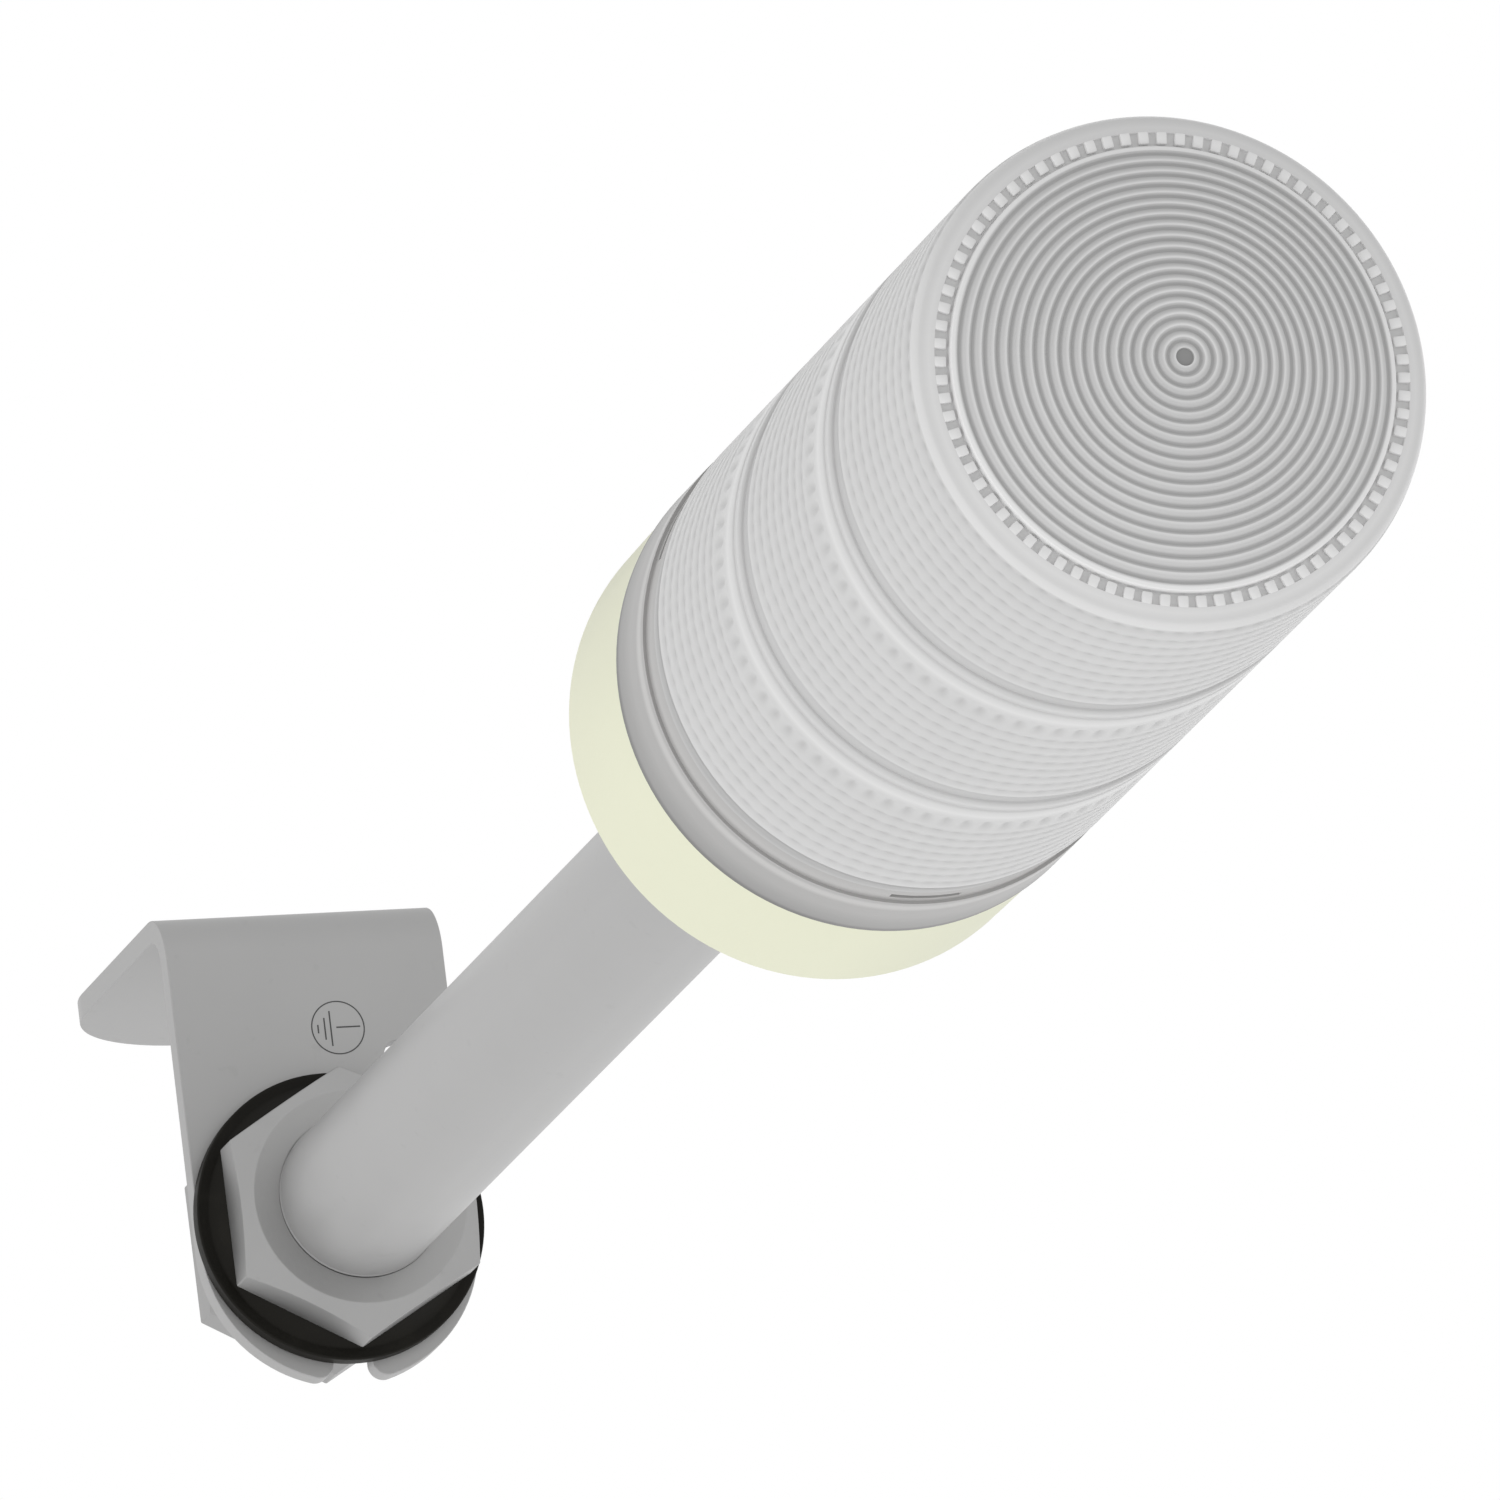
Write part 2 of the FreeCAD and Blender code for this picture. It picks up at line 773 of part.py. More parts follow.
def hexagon_tube(label, length, bottom, end_wall="0"):
    """Six-sided carrier with its hollow closed at the top by a drilled end wall, or open."""
    outside = prism(f"{label}_outside", "carrier_flats", length)
    inside = prism(f"{label}_inside", "carrier_flats - 2 * carrier_wall", f"{length} - {end_wall}")
    tube = combine("Cut", f"{label}_tube", outside, inside)
    if end_wall != "0":
        tube = drill_for_rods(label, tube, length)
    place(tube, label, bottom)


def spaced_round(label, bottom, copies, *outlines):
    """Like pieces round the axis: each outline is (corners on the XY plane, base, height)."""
    body = new_body(f"{label}_group")
    body.AllowCompound = True
    pads = []
    for number, (corners, base, height) in enumerate(outlines):
        sketch = new_sketch(body, f"{label}_outline_{number}", "XY_Plane", base)
        if len(corners) == 3:
            circle(sketch, *corners)
        else:
            polygon(sketch, corners)
        pads.append(pad(body, sketch, height))
    pattern = ring_pattern(body, pads[0], copies)
    pattern.Originals = pads
    place(body, label, bottom)


def rectangle(near, far, width):
    """Corners of a rectangle that straddles the X axis."""
    return [
        (near, f"-({width}) / 2"),
        (far, f"-({width}) / 2"),
        (far, f"({width}) / 2"),
        (near, f"({width}) / 2"),
    ]


def light_unit(tier):
    """Carrier of one tier with a circuit board on each of its six sides and the lamps on them."""
    name = TIERS[tier]
    length = "tier_height - carrier_relief" if tier == 2 else "tier_height"
    end_wall = "carrier_wall" if tier == 2 else "0"
    hexagon_tube(f"led_carrier_{name}", length, tier_base(tier), end_wall)
    face = "carrier_flats / 2"
    front = f"({face} + board_thickness)"
    side = rectangle(face, front, "led_board_width")
    board = (side, "led_board_lift", "led_board_height")
    spaced_round(f"led_boards_{name}", tier_base(tier), "6", board)
    lamps = [
        (
            rectangle(front, f"{front} + led_height", "led_size"),
            f"led_board_lift + led_board_height / 2 + ({row} - (led_rows - 1) / 2) * led_pitch"
            " - led_size / 2",
            "led_size",
        )
        for row in range(int(value("led_rows")))
    ]
    spaced_round(f"leds_{name}", tier_base(tier), "6", *lamps)


def light_units():
    foot = f"{BOSS_TOP} + board_thickness"
    hexagon_tube("carrier_foot", f"{LENS_BOTTOM} - ({foot})", foot)
    for tier in range(len(TIERS)):
        light_unit(tier)


def tie_rods():
    """Two long rods from the boss to the top carrier's end wall, each with a round nut."""
    wall_top = f"({tier_base(2)} + tier_height - carrier_relief)"
    bottom = f"({BOSS_TOP} - rod_grip)"
    length = f"{wall_top} + rod_nut_thickness + rod_end - {bottom}"
    rod = (("rod_offset", "0", "rod_diameter / 2"), "0", length)
    spaced_round("tie_rods", bottom, "2", rod)

    body = new_body("rod_nut_group")
    body.AllowCompound = True
    ring = new_sketch(body, "rod_nut_outline", "XY_Plane")
    corner = f"rod_nut_flats / 2 / cos({HALF_SIDE_ANGLE})"
    hexagon = [
        (f"rod_offset + {corner} * cos({angle})", f"{corner} * sin({angle})")
        for angle in range(HALF_SIDE_ANGLE, 360, 2 * HALF_SIDE_ANGLE)
    ]
    polygon(ring, hexagon)
    circle(ring, "rod_offset", "0", "rod_diameter / 2 + thread_gap")
    ring_pattern(body, pad(body, ring, "rod_nut_thickness"), "2")
    place(body, "rod_nuts", wall_top)


build_order = (
    wall_bracket,
    rubber_washer,
    steel_washers,
    clamping_nuts,
    pole,
    cable_bush,
    base_housing,
    pole_screw,
    spacer_ring,
    open_tiers,
    top_tier,
    lens_seals,
    terminal_parts,
    light_units,
    tie_rods,
)
for build in build_order:
    build()

document.recompute()

failed = [
    f"{item.Name}: {item.State}"
    for item in document.Objects
    if "Invalid" in item.State or "Error" in item.State
]
for item in sub_parts:
    if item.Shape.isNull() or not item.Shape.isValid():
        failed.append(f"{item.Label}: bad shape")
if failed:
    raise RuntimeError("; ".join(failed))

os.makedirs("parts", exist_ok=True)
for item in sub_parts:
    item.Shape.exportStep(f"parts/{item.Label}.step")
    print(f"{item.Label:16s} {item.Shape.Volume:10.1f} mm3  {len(item.Shape.Solids)} solid(s)")
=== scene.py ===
# %% [markdown]
# # A stack light on its wall bracket
#
# A stack light tells people across a workshop what a machine is doing. This one has three clear
# lens tiers on a cream base, and a steel tube that two nuts clamp to a folded bracket. The solid
# model gives every piece its true place and size. This lesson adds what the eye looks for: the fine
# ribs of the lenses, soft edges on the metal, and a finish for every surface.
#
# The first step loads the solids as a fixed frame and notes the box that they fill, because nothing
# added later may outgrow it.

# %% Load the frame
import json
import math

import bmesh
import bpy
from mathutils import Matrix, Vector


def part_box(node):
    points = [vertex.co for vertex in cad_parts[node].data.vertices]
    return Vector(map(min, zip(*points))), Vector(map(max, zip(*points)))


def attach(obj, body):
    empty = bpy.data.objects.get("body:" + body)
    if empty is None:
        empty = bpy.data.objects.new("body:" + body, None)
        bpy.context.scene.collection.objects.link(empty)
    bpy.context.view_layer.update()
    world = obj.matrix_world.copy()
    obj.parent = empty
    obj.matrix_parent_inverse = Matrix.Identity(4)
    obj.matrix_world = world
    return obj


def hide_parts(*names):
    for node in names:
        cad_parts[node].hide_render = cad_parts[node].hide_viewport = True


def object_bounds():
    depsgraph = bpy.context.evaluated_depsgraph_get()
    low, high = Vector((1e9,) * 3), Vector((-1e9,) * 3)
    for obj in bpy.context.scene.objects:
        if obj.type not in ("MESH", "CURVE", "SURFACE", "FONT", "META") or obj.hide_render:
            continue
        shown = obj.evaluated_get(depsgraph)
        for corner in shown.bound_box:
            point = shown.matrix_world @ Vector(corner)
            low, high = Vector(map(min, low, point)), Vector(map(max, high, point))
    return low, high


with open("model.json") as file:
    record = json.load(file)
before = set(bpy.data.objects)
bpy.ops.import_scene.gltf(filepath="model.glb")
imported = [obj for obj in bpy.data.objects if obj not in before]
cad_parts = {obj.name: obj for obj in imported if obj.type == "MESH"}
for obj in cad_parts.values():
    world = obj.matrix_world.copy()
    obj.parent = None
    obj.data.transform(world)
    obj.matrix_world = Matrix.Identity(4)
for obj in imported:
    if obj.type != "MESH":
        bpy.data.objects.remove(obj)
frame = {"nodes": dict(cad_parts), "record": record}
cad_box = [list(corner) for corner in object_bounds()]
MM = 0.001
print("solids:", len(frame["nodes"]), "box:", cad_box)

# %% [markdown]
# ## Sizes that the lenses share
#
# The lens tiers are turned shapes on one axis, so a few numbers describe them all: where the axis
# stands, how wide the tower is and how tall a tier is. They are read from the solids and not typed
# again, so the ribs still fit when the solids change.

# %% Read the tower's sizes from the solids
tier_low, tier_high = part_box("lens_bottom")
AXIS = Vector(((tier_low.x + tier_high.x) / 2, (tier_low.y + tier_high.y) / 2, 0))
TOWER_RADIUS = (tier_high.x - tier_low.x) / 2
TIER_HEIGHT = tier_high.z - tier_low.z
PLATE_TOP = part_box("rubber_washer")[0].z
print("tower radius", round(TOWER_RADIUS, 4), "tier height", round(TIER_HEIGHT, 4))

# %% [markdown]
# ## Arithmetic with shader sockets
#
# A finish is a little formula that runs at every point of a surface. Wiring Math nodes by hand
# hides that formula, so this class wraps a node's output and lets plain Python signs build the
# nodes: `1 - mask * 0.5` adds two Math nodes and gives back their result.

# %% A socket that can be added and multiplied


class Field:
    """A number or colour that varies over a surface."""

    def __init__(self, finish, output):
        self.finish = finish
        self.output = output

    def maths(self, operation, *values):
        return self.finish.node("ShaderNodeMath", {"operation": operation}, dict(enumerate(values)))

    def __add__(self, other):
        return self.maths("ADD", self, other)

    def __sub__(self, other):
        return self.maths("SUBTRACT", self, other)

    def __rsub__(self, other):
        return self.maths("SUBTRACT", other, self)

    def __mul__(self, other):
        return self.maths("MULTIPLY", self, other)

    def between(self, low, high):
        """0 below low, 1 above high, and a soft step from one to the other."""
        settings = {"interpolation_type": "SMOOTHSTEP"}
        values = {"Value": self, "From Min": low, "From Max": high}
        return self.finish.node("ShaderNodeMapRange", settings, values)

    __radd__ = __add__
    __rmul__ = __mul__


# %% [markdown]
# ## A finish
#
# Every material here has the same ending, a Principled shader, and differs in what feeds its
# colour, roughness and bump. The class below holds the node tree and has one method that makes any
# node: first its settings, then the values or links of its inputs. Patterns read Object
# coordinates. All the pieces keep their place in their mesh, so one millimetre of grain is one
# millimetre everywhere.

# %% A material and its nodes
# A Mix node has several inputs called A and B. These two numbers are the ones that take colours.
COLOUR_A = 6
COLOUR_B = 7


class Finish:
    """One material: makes nodes and ends in a Principled shader."""

    def __init__(self, name, **fixed):
        self.material = bpy.data.materials.new(name)
        self.material.use_nodes = True
        self.tree = self.material.node_tree
        self.shader = self.tree.nodes["Principled BSDF"]
        for socket, value in fixed.items():
            self.shader.inputs[socket.replace("_", " ")].default_value = value
        self.place = self.node("ShaderNodeTexCoord", output="Object")

    def node(self, kind, settings=None, values=None, output=0):
        """Any node: its type, its settings, and the values or links of its inputs."""
        made = self.tree.nodes.new(kind)
        for name, setting in (settings or {}).items():
            if name == "stops":
                self.set_stops(made.color_ramp, setting)
            else:
                setattr(made, name, setting)
        for socket, value in (values or {}).items():
            self.feed(made.inputs[socket], value)
        return Field(self, made.outputs[output])

    def set_stops(self, ramp, stops):
        """Write the positions and colours of a colour ramp."""
        for index, (position, colour) in enumerate(stops):
            if index >= len(ramp.elements):
                ramp.elements.new(position)
            ramp.elements[index].position = position
            ramp.elements[index].color = (*colour, 1)

    def feed(self, socket, value):
        """Link a field to a socket, or set a plain value there."""
        if isinstance(value, Field):
            self.tree.links.new(value.output, socket)
        else:
            socket.default_value = value

    def surface(self, **values):
        """Connect fields to the Principled shader, and return the material."""
        for name, value in values.items():
            self.feed(self.shader.inputs[name.replace("_", " ")], value)
        return self.material

    def along(self, stretch):
        """Object coordinates scaled separately along X, Y and Z."""
        return self.node("ShaderNodeMapping", None, {"Vector": self.place, "Scale": stretch})

    def noise(self, per_metre, detail=3.0, stretch=(1, 1, 1)):
        """Cloudy grain from 0 to 1, with so many lumps in a metre."""
        values = {"Vector": self.along(stretch), "Scale": per_metre, "Detail": detail}
        return self.node("ShaderNodeTexNoise", None, values)

    def blend(self, mask, first, second):
        """The first colour where the mask is 0, and the second where it is 1."""
        values = {"Factor": mask, COLOUR_A: first, COLOUR_B: second}
        return self.node("ShaderNodeMix", {"data_type": "RGBA"}, values, output="Result")

    def bump(self, height, depth):
        """A normal from a height field, with its full range worth a depth in metres."""
        return self.node("ShaderNodeBump", None, {"Height": height, "Distance": depth})

    def attribute(self, name):
        """A number that the mesh carries at each of its points."""
        settings = {"attribute_name": name}
        return self.node("ShaderNodeAttribute", settings, output="Fac")

    def height(self):
        """The height above the frame's origin."""
        return self.node("ShaderNodeSeparateXYZ", None, {"Vector": self.place}, output="Z")


print("shader classes ready")

# %% [markdown]
# ## Clear lens plastic
#
# The lenses are clear, but their ribs scatter the light so much that they look like pale ice.
# See-through glass would show the circuit boards, which the real ribs hide, so the finish is a pale
# plastic with a gloss. The mesh carries a number called `shade`. Up to 1 it paints shade into the
# bottom of a groove and other hollows, and down to -1 it paints light that makes smooth bands and
# rims paler.

# %% Make the lens plastic
LENS_LEVELS = (0.57, 0.63)
# The pale level below is painted light on bands, rims, crown and teeth; the dark one is painted
# shade in grooves and hollows.
LENS_PAINTED_LIGHT = 0.92
LENS_PAINTED_SHADE = 0.28
LENS_WARMTH = 0.002


def grey(level, warmth=0.0):
    """A neutral colour, or one that is a little warmer."""
    return (level * (1 + warmth), level, level * (1 - warmth), 1)


def lens_plastic():
    finish = Finish("clear_lens_plastic", IOR=1.49, Coat_Weight=0.25, Coat_Roughness=0.12)
    cloud = finish.noise(per_metre=60.0, detail=2.0)
    shade = finish.attribute("shade")
    low, high = (grey(level, LENS_WARMTH) for level in LENS_LEVELS)
    body = finish.blend(cloud, low, high)
    # Below 0 the shade number mixes in painted light, above 0 painted shade.
    with_painted_light = finish.blend((0 - shade).between(0, 1), body, grey(LENS_PAINTED_LIGHT, LENS_WARMTH))
    dark = grey(LENS_PAINTED_SHADE, LENS_WARMTH * 2)
    colour = finish.blend(shade.between(-0.2, 1.2), with_painted_light, dark)
    fine = finish.noise(per_metre=900.0, detail=3.0)
    return finish.surface(
        Base_Color=colour,
        Roughness=0.28 + cloud * 0.14,
        Normal=finish.bump(fine, depth=0.03 * MM),
    )


LENS = lens_plastic()
print("made", LENS.name)

# %% [markdown]
# ## Frosted ring
#
# The ring under the lenses is the same plastic with a frosted inside, so it looks greyer. Its upper
# lip is paler with a painted highlight, and a thin painted shadow lies at its foot and under the
# lip. A colour ramp turns the height within the ring into those bands.

# %% Make the frosted plastic
RING_WARMTH = 0.014
# Each pair is a share of the ring's height and a grey level, with painted light and shade in it.
RING_BANDS_WITH_PAINTED_LIGHT = (
    (0.00, 0.08),
    (0.04, 0.09),
    (0.09, 0.23),
    (0.22, 0.27),
    (0.40, 0.345),
    (0.56, 0.35),
    (0.63, 0.50),
    (0.68, 0.50),
    (0.73, 0.36),
    (0.78, 0.40),
    (0.84, 0.48),
    (0.92, 0.42),
    (1.00, 0.38),
)


def frosted_plastic():
    low, high = (corner.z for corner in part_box("spacer_ring"))
    finish = Finish("frosted_ring_plastic", IOR=1.49, Coat_Weight=0.2, Coat_Roughness=0.2)
    values = {"Value": finish.height(), "From Min": low, "From Max": high}
    rise = finish.node("ShaderNodeMapRange", None, values)
    stops = [(position, grey(level, RING_WARMTH)[:3]) for position, level in RING_BANDS_WITH_PAINTED_LIGHT]
    # The ramp holds the ring's grey with a painted highlight on the lip and painted shadow at the
    # foot and under the lip.
    bands_with_painted_light = finish.node("ShaderNodeValToRGB", {"stops": stops}, {"Fac": rise}, output="Color")
    cloud = finish.noise(per_metre=45.0, detail=2.0)
    fine = finish.noise(per_metre=700.0, detail=3.0)
    return finish.surface(
        Base_Color=finish.blend(cloud * 0.25, bands_with_painted_light, grey(0.5, RING_WARMTH)),
        Roughness=0.34 + cloud * 0.12,
        Normal=finish.bump(fine, depth=0.04 * MM),
    )


FROSTED = frosted_plastic()
print("made", FROSTED.name)

# %% [markdown]
# ## Moulded plastics
#
# The cream base is a moulding with a very fine spark-eroded grain. Fine noise gives the grain as a
# bump, and a slow noise shifts the colour a little, as a real moulding does around its thicker
# parts. The white carriers and the black fittings inside are moulded too, so they share the recipe.

# %% Make the moulded plastics


def moulded_plastic(name, colour, other, roughness):
    """Matte plastic between two near colours, with a fine grain."""
    finish = Finish(name, IOR=1.5)
    cloud = finish.noise(per_metre=35.0, detail=2.0)
    grain = finish.noise(per_metre=2600.0, detail=2.0)
    return finish.surface(
        Base_Color=finish.blend(cloud, (*colour, 1), (*other, 1)),
        Roughness=roughness + grain * 0.1,
        Normal=finish.bump(grain, depth=0.02 * MM),
    )


CREAM = moulded_plastic(
    "cream_plastic",
    (0.775, 0.785, 0.60),
    (0.805, 0.815, 0.63),
    roughness=0.42,
)
BLACK = moulded_plastic(
    "black_plastic",
    (0.012, 0.012, 0.012),
    (0.02, 0.02, 0.02),
    roughness=0.4,
)
WHITE = moulded_plastic(
    "white_carrier_plastic",
    (0.78, 0.78, 0.76),
    (0.84, 0.84, 0.82),
    roughness=0.45,
)
print("made", CREAM.name, BLACK.name, WHITE.name)

# %% [markdown]
# ## Black rubber
#
# Moulded rubber is nearly black with a dry, soft gloss. A bloom of fine dust makes patches of it a
# touch paler and rougher.

# %% Make the rubber
CLEAN_RUBBER = (0.0085, 0.0078, 0.006, 1)
DUSTY_RUBBER = (0.015, 0.014, 0.0115, 1)


def black_rubber():
    finish = Finish("black_rubber", IOR=1.5, Specular_IOR_Level=0.12)
    bloom = finish.noise(per_metre=220.0, detail=4.0).between(0.45, 0.75)
    grain = finish.noise(per_metre=1800.0, detail=2.0)
    return finish.surface(
        Base_Color=finish.blend(bloom, CLEAN_RUBBER, DUSTY_RUBBER),
        Roughness=0.5 + bloom * 0.2,
        Normal=finish.bump(grain, depth=0.04 * MM),
    )


RUBBER = black_rubber()
print("made", RUBBER.name)

# %% [markdown]
# ## Plated steel
#
# Nearly all the metal is zinc-plated steel: a soft silver grey whose gloss changes in slow clouds.
# What tells the pieces apart is the grain that their making left. Strip steel was rolled along its
# length, a tube was drawn along its axis, and a nut is bright from the cutter. One function takes
# the grey level, the roughness and the way the grain runs: a small scale along a direction draws
# the grain out that way. A strong warmth turns the steel into brass.

# %% Make the metals
CLOUD_SWING = 0.06
EVEN_GRAIN = (1, 1, 1)
ROLLED_GRAIN = (1, 0.06, 0.06)
DRAWN_GRAIN = (1, 1, 0.03)


def plated_metal(name, level, roughness, grain_stretch, metallic=0.6, coat=0.25, warmth=0.004):
    """Silvery or brassy plating over a grain that is stretched along one direction."""
    finish = Finish(name, Metallic=metallic, Coat_Weight=coat, Coat_Roughness=0.3)
    cloud = finish.noise(per_metre=90.0, detail=3.0)
    grain = finish.noise(per_metre=1500.0, detail=2.0, stretch=grain_stretch)
    specks = finish.noise(per_metre=420.0, detail=2.0).between(0.66, 0.76)
    low, high = level * (1 - CLOUD_SWING), level * (1 + CLOUD_SWING)
    body = finish.blend(cloud, grey(low, warmth), grey(high, warmth))
    colour = finish.blend(specks * 0.2, body, grey(level * 0.8, warmth * 2))
    return finish.surface(
        Base_Color=colour,
        Roughness=roughness + cloud * 0.12,
        Normal=finish.bump(grain, depth=0.012 * MM),
    )


STRIP_STEEL = plated_metal("bracket_steel", 0.425, 0.5, ROLLED_GRAIN)
TUBE_STEEL = plated_metal("tube_steel", 0.43, 0.38, DRAWN_GRAIN)
NUT_STEEL = plated_metal("nut_steel", 0.37, 0.36, EVEN_GRAIN, metallic=0.9, coat=0.0)
BRASS = plated_metal("rod_nut_brass", 0.5, 0.3, EVEN_GRAIN, warmth=0.42)
print("made", STRIP_STEEL.name, TUBE_STEEL.name, NUT_STEEL.name, BRASS.name)

# %% [markdown]
# ## Circuit boards and lamps
#
# The boards inside carry white solder mask, so they throw the light outwards. Thin copper tracks
# show under the mask as faint lines, made by a brick pattern. The lamps are small blocks of pale
# yellow phosphor, brighter in the middle of the grain.

# %% Make the finishes of the light unit
TRACK_COLOUR = (0.62, 0.66, 0.60, 1)
PHOSPHOR_EDGE = (0.80, 0.66, 0.20, 1)
PHOSPHOR_MIDDLE = (0.90, 0.82, 0.42, 1)


def circuit_board():
    finish = Finish("white_circuit_board", IOR=1.5)
    values = {
        "Vector": finish.place,
        "Scale": 260.0,
        "Color1": grey(0.72),
        "Color2": grey(0.78),
        "Mortar": TRACK_COLOUR,
    }
    tracks = finish.node("ShaderNodeTexBrick", None, values, output="Color")
    cloud = finish.noise(per_metre=120.0)
    return finish.surface(Base_Color=tracks, Roughness=0.3 + cloud * 0.15)


def phosphor():
    finish = Finish("lamp_phosphor", IOR=1.5)
    grain = finish.noise(per_metre=1400.0, detail=3.0)
    colour = finish.blend(grain, PHOSPHOR_EDGE, PHOSPHOR_MIDDLE)
    return finish.surface(Base_Color=colour, Roughness=0.35 + grain * 0.1)


BOARD = circuit_board()
PHOSPHOR = phosphor()
print("made", BOARD.name, PHOSPHOR.name)

# %% [markdown]
# ## Dress the solids
#
# The record names a material slot for every solid, so one table from slot to finish dresses them
# all. The solids that nobody sees from outside keep their own mesh and need no more than that.

# %% Give every solid its finish
FINISHES = {
    "bracket_steel": STRIP_STEEL,
    "tube_steel": TUBE_STEEL,
    "nut_steel": NUT_STEEL,
    "black_rubber": RUBBER,
    "cream_plastic": CREAM,
    "clear_lens": LENS,
    "frosted_ring": FROSTED,
    "white_plastic": WHITE,
    "circuit_board": BOARD,
    "lamp": PHOSPHOR,
    "black_plastic": BLACK,
    "brass": BRASS,
}
SLOTS = {part["node"]: part["material_slot"] for part in frame["record"]["subparts"]}
for name, solid in frame["nodes"].items():
    solid.data.materials.clear()
    solid.data.materials.append(FINISHES[SLOTS[name]])
print("dressed", len(SLOTS), "solids")

# %% [markdown]
# ## From a bmesh to a piece
#
# New shapes are made with bmesh operators. When a shape is ready it becomes an object: its normals
# are turned outwards, its faces are smooth up to a sharp angle, and it rides on the part's one
# body. A piece that stands for a solid also hides that solid.

# %% A helper that finishes a piece
CREASE = math.radians(32)


def piece(name, shape, slot, replaced=None, sharp=CREASE):
    """Turn a bmesh into a smooth-shaded object that rides on the part."""
    bmesh.ops.recalc_face_normals(shape, faces=shape.faces)
    mesh = bpy.data.meshes.new(name)
    shape.to_mesh(mesh)
    shape.free()
    mesh.shade_smooth()
    mesh.set_sharp_from_angle(angle=sharp)
    mesh.materials.append(FINISHES[slot])
    thing = bpy.data.objects.new(name, mesh)
    bpy.context.scene.collection.objects.link(thing)
    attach(thing, "root")
    if replaced:
        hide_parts(replaced)
    print(name, "faces:", len(mesh.polygons))
    return thing


# %% [markdown]
# ## Soft edges
#
# A pressed bracket or a turned nut never has a knife edge. Its rounded edge catches a thin line of
# light, and that line is what makes it look solid. Each visible solid is copied, its loose
# triangles are merged into whole faces, and the edges that turn sharply are bevelled. Weighted
# normals let the big flat faces keep their own direction, and only the narrow bevels blend from one
# to the next.

# %% Copy a solid with rounded edges
WELD = 0.002 * MM
FLAT_ANGLE = math.radians(0.5)
SOFT_CREASE = math.radians(50)


def round_edges(shape, edges, radius):
    """Bevel some edges of a bmesh, in two steps."""
    bmesh.ops.bevel(
        shape,
        geom=edges,
        offset=radius,
        offset_type="OFFSET",
        segments=2,
        profile=0.5,
        affect="EDGES",
        clamp_overlap=True,
        material=-1,
    )


def softened(node, radius):
    """A copy of a solid with its sharp edges rounded to a radius."""
    shape = bmesh.new()
    shape.from_mesh(frame["nodes"][node].data)
    bmesh.ops.remove_doubles(shape, verts=shape.verts, dist=WELD)
    bmesh.ops.dissolve_limit(shape, angle_limit=FLAT_ANGLE, verts=shape.verts, edges=shape.edges)
    edges = [edge for edge in shape.edges if edge.is_manifold and edge.calc_face_angle() > CREASE]
    round_edges(shape, edges, radius)
    thing = piece(f"{node}_soft", shape, SLOTS[node], node, sharp=SOFT_CREASE)
    steady = thing.modifiers.new("flat_planes", "WEIGHTED_NORMAL")
    steady.mode = "FACE_AREA"
    steady.weight = 100
    steady.keep_sharp = True
    return thing


print("edges bevel past", round(math.degrees(CREASE)), "degrees")

# %% [markdown]
# ## How round each edge is
#
# A bevel's radius says how a piece was made. The bracket was tumbled after it was cut, so it has
# the roundest edges, the turned nuts are crisper, and the thin lips of the moulded ring are the
# finest.

# %% Soften the visible solids
# Radii in millimetres.
EDGE_RADII = {
    "wall_bracket": 0.35,
    "rubber_washer": 0.3,
    "flat_washer": 0.2,
    "lock_washer": 0.2,
    "upper_nut": 0.25,
    "lower_nut": 0.25,
    "pole": 0.15,
    "cable_bush": 0.3,
    "base_housing": 0.25,
    "spacer_ring": 0.12,
}
for node, radius in EDGE_RADII.items():
    softened(node, radius * MM)

# %% [markdown]
# ## The section of a lens wall
#
# A lens tier is a turned wall with a wavy outside. Its section is a list of points, each with a
# radius, a height and the `shade` that the plastic reads: painted shade above 0, painted light
# below it. From the foot up it has a taper with painted shade, a plain lip and fine grooves. A
# groove is five points that a small function places, so a loop can repeat it up the wall.

# %% Write the section of the ribbed wall
TAPER_DEPTH = 0.45 * MM
TAPER_TOP = 3.7 * MM
FIRST_GROOVE = 5.95 * MM
GROOVE_PITCH = 3.21 * MM
GROOVE_HALF = 0.45 * MM
GROOVE_DEPTH = 0.2 * MM
# Each pair is a place across the groove, in half widths, and a share of the depth and of the
# painted shade.
GROOVE_SHAPE = ((-1, 0), (-0.4, 0.8), (0, 1), (0.4, 0.8), (1, 0))
OPEN_GROOVES = 8
# Painted shade on the foot's taper of the middle and top tiers.
FAINTLY_SHADED_FOOT = (0.15, 0.2, 0.16)


def straight(height):
    """The outside radius of a wall that has no shoulder."""
    return TOWER_RADIUS


def groove(middle, half, depth, dark=1.0, outside=straight):
    """A shallow round-bottomed groove with painted shade at its bottom, as five points of the
    section.
    """
    points = []
    for across, share in GROOVE_SHAPE:
        height = middle + half * across
        points.append((outside(height) - depth * share, height, share * dark))
    return points


def ribbed_wall(grooves, foot_shades, outside=straight):
    """The outside of a tier, from its foot to its last groove."""
    foot, middle, head = foot_shades
    # The taper at the foot gets painted shade, and the lip above it a touch of painted light.
    section = [
        (TOWER_RADIUS - TAPER_DEPTH, 0.0, foot),
        (TOWER_RADIUS - TAPER_DEPTH * 0.9, 1.2 * MM, middle),
        (TOWER_RADIUS - TAPER_DEPTH * 0.6, TAPER_TOP - 0.8 * MM, head),
        (TOWER_RADIUS - 0.05 * MM, TAPER_TOP - 0.2 * MM, 0.0),
        (TOWER_RADIUS, TAPER_TOP + 0.2 * MM, -0.1),
    ]
    for index in range(grooves):
        height = FIRST_GROOVE + index * GROOVE_PITCH
        section += groove(height, GROOVE_HALF, GROOVE_DEPTH, outside=outside)
    return section


print("points in the ribbed wall:", len(ribbed_wall(OPEN_GROOVES, FAINTLY_SHADED_FOOT)))
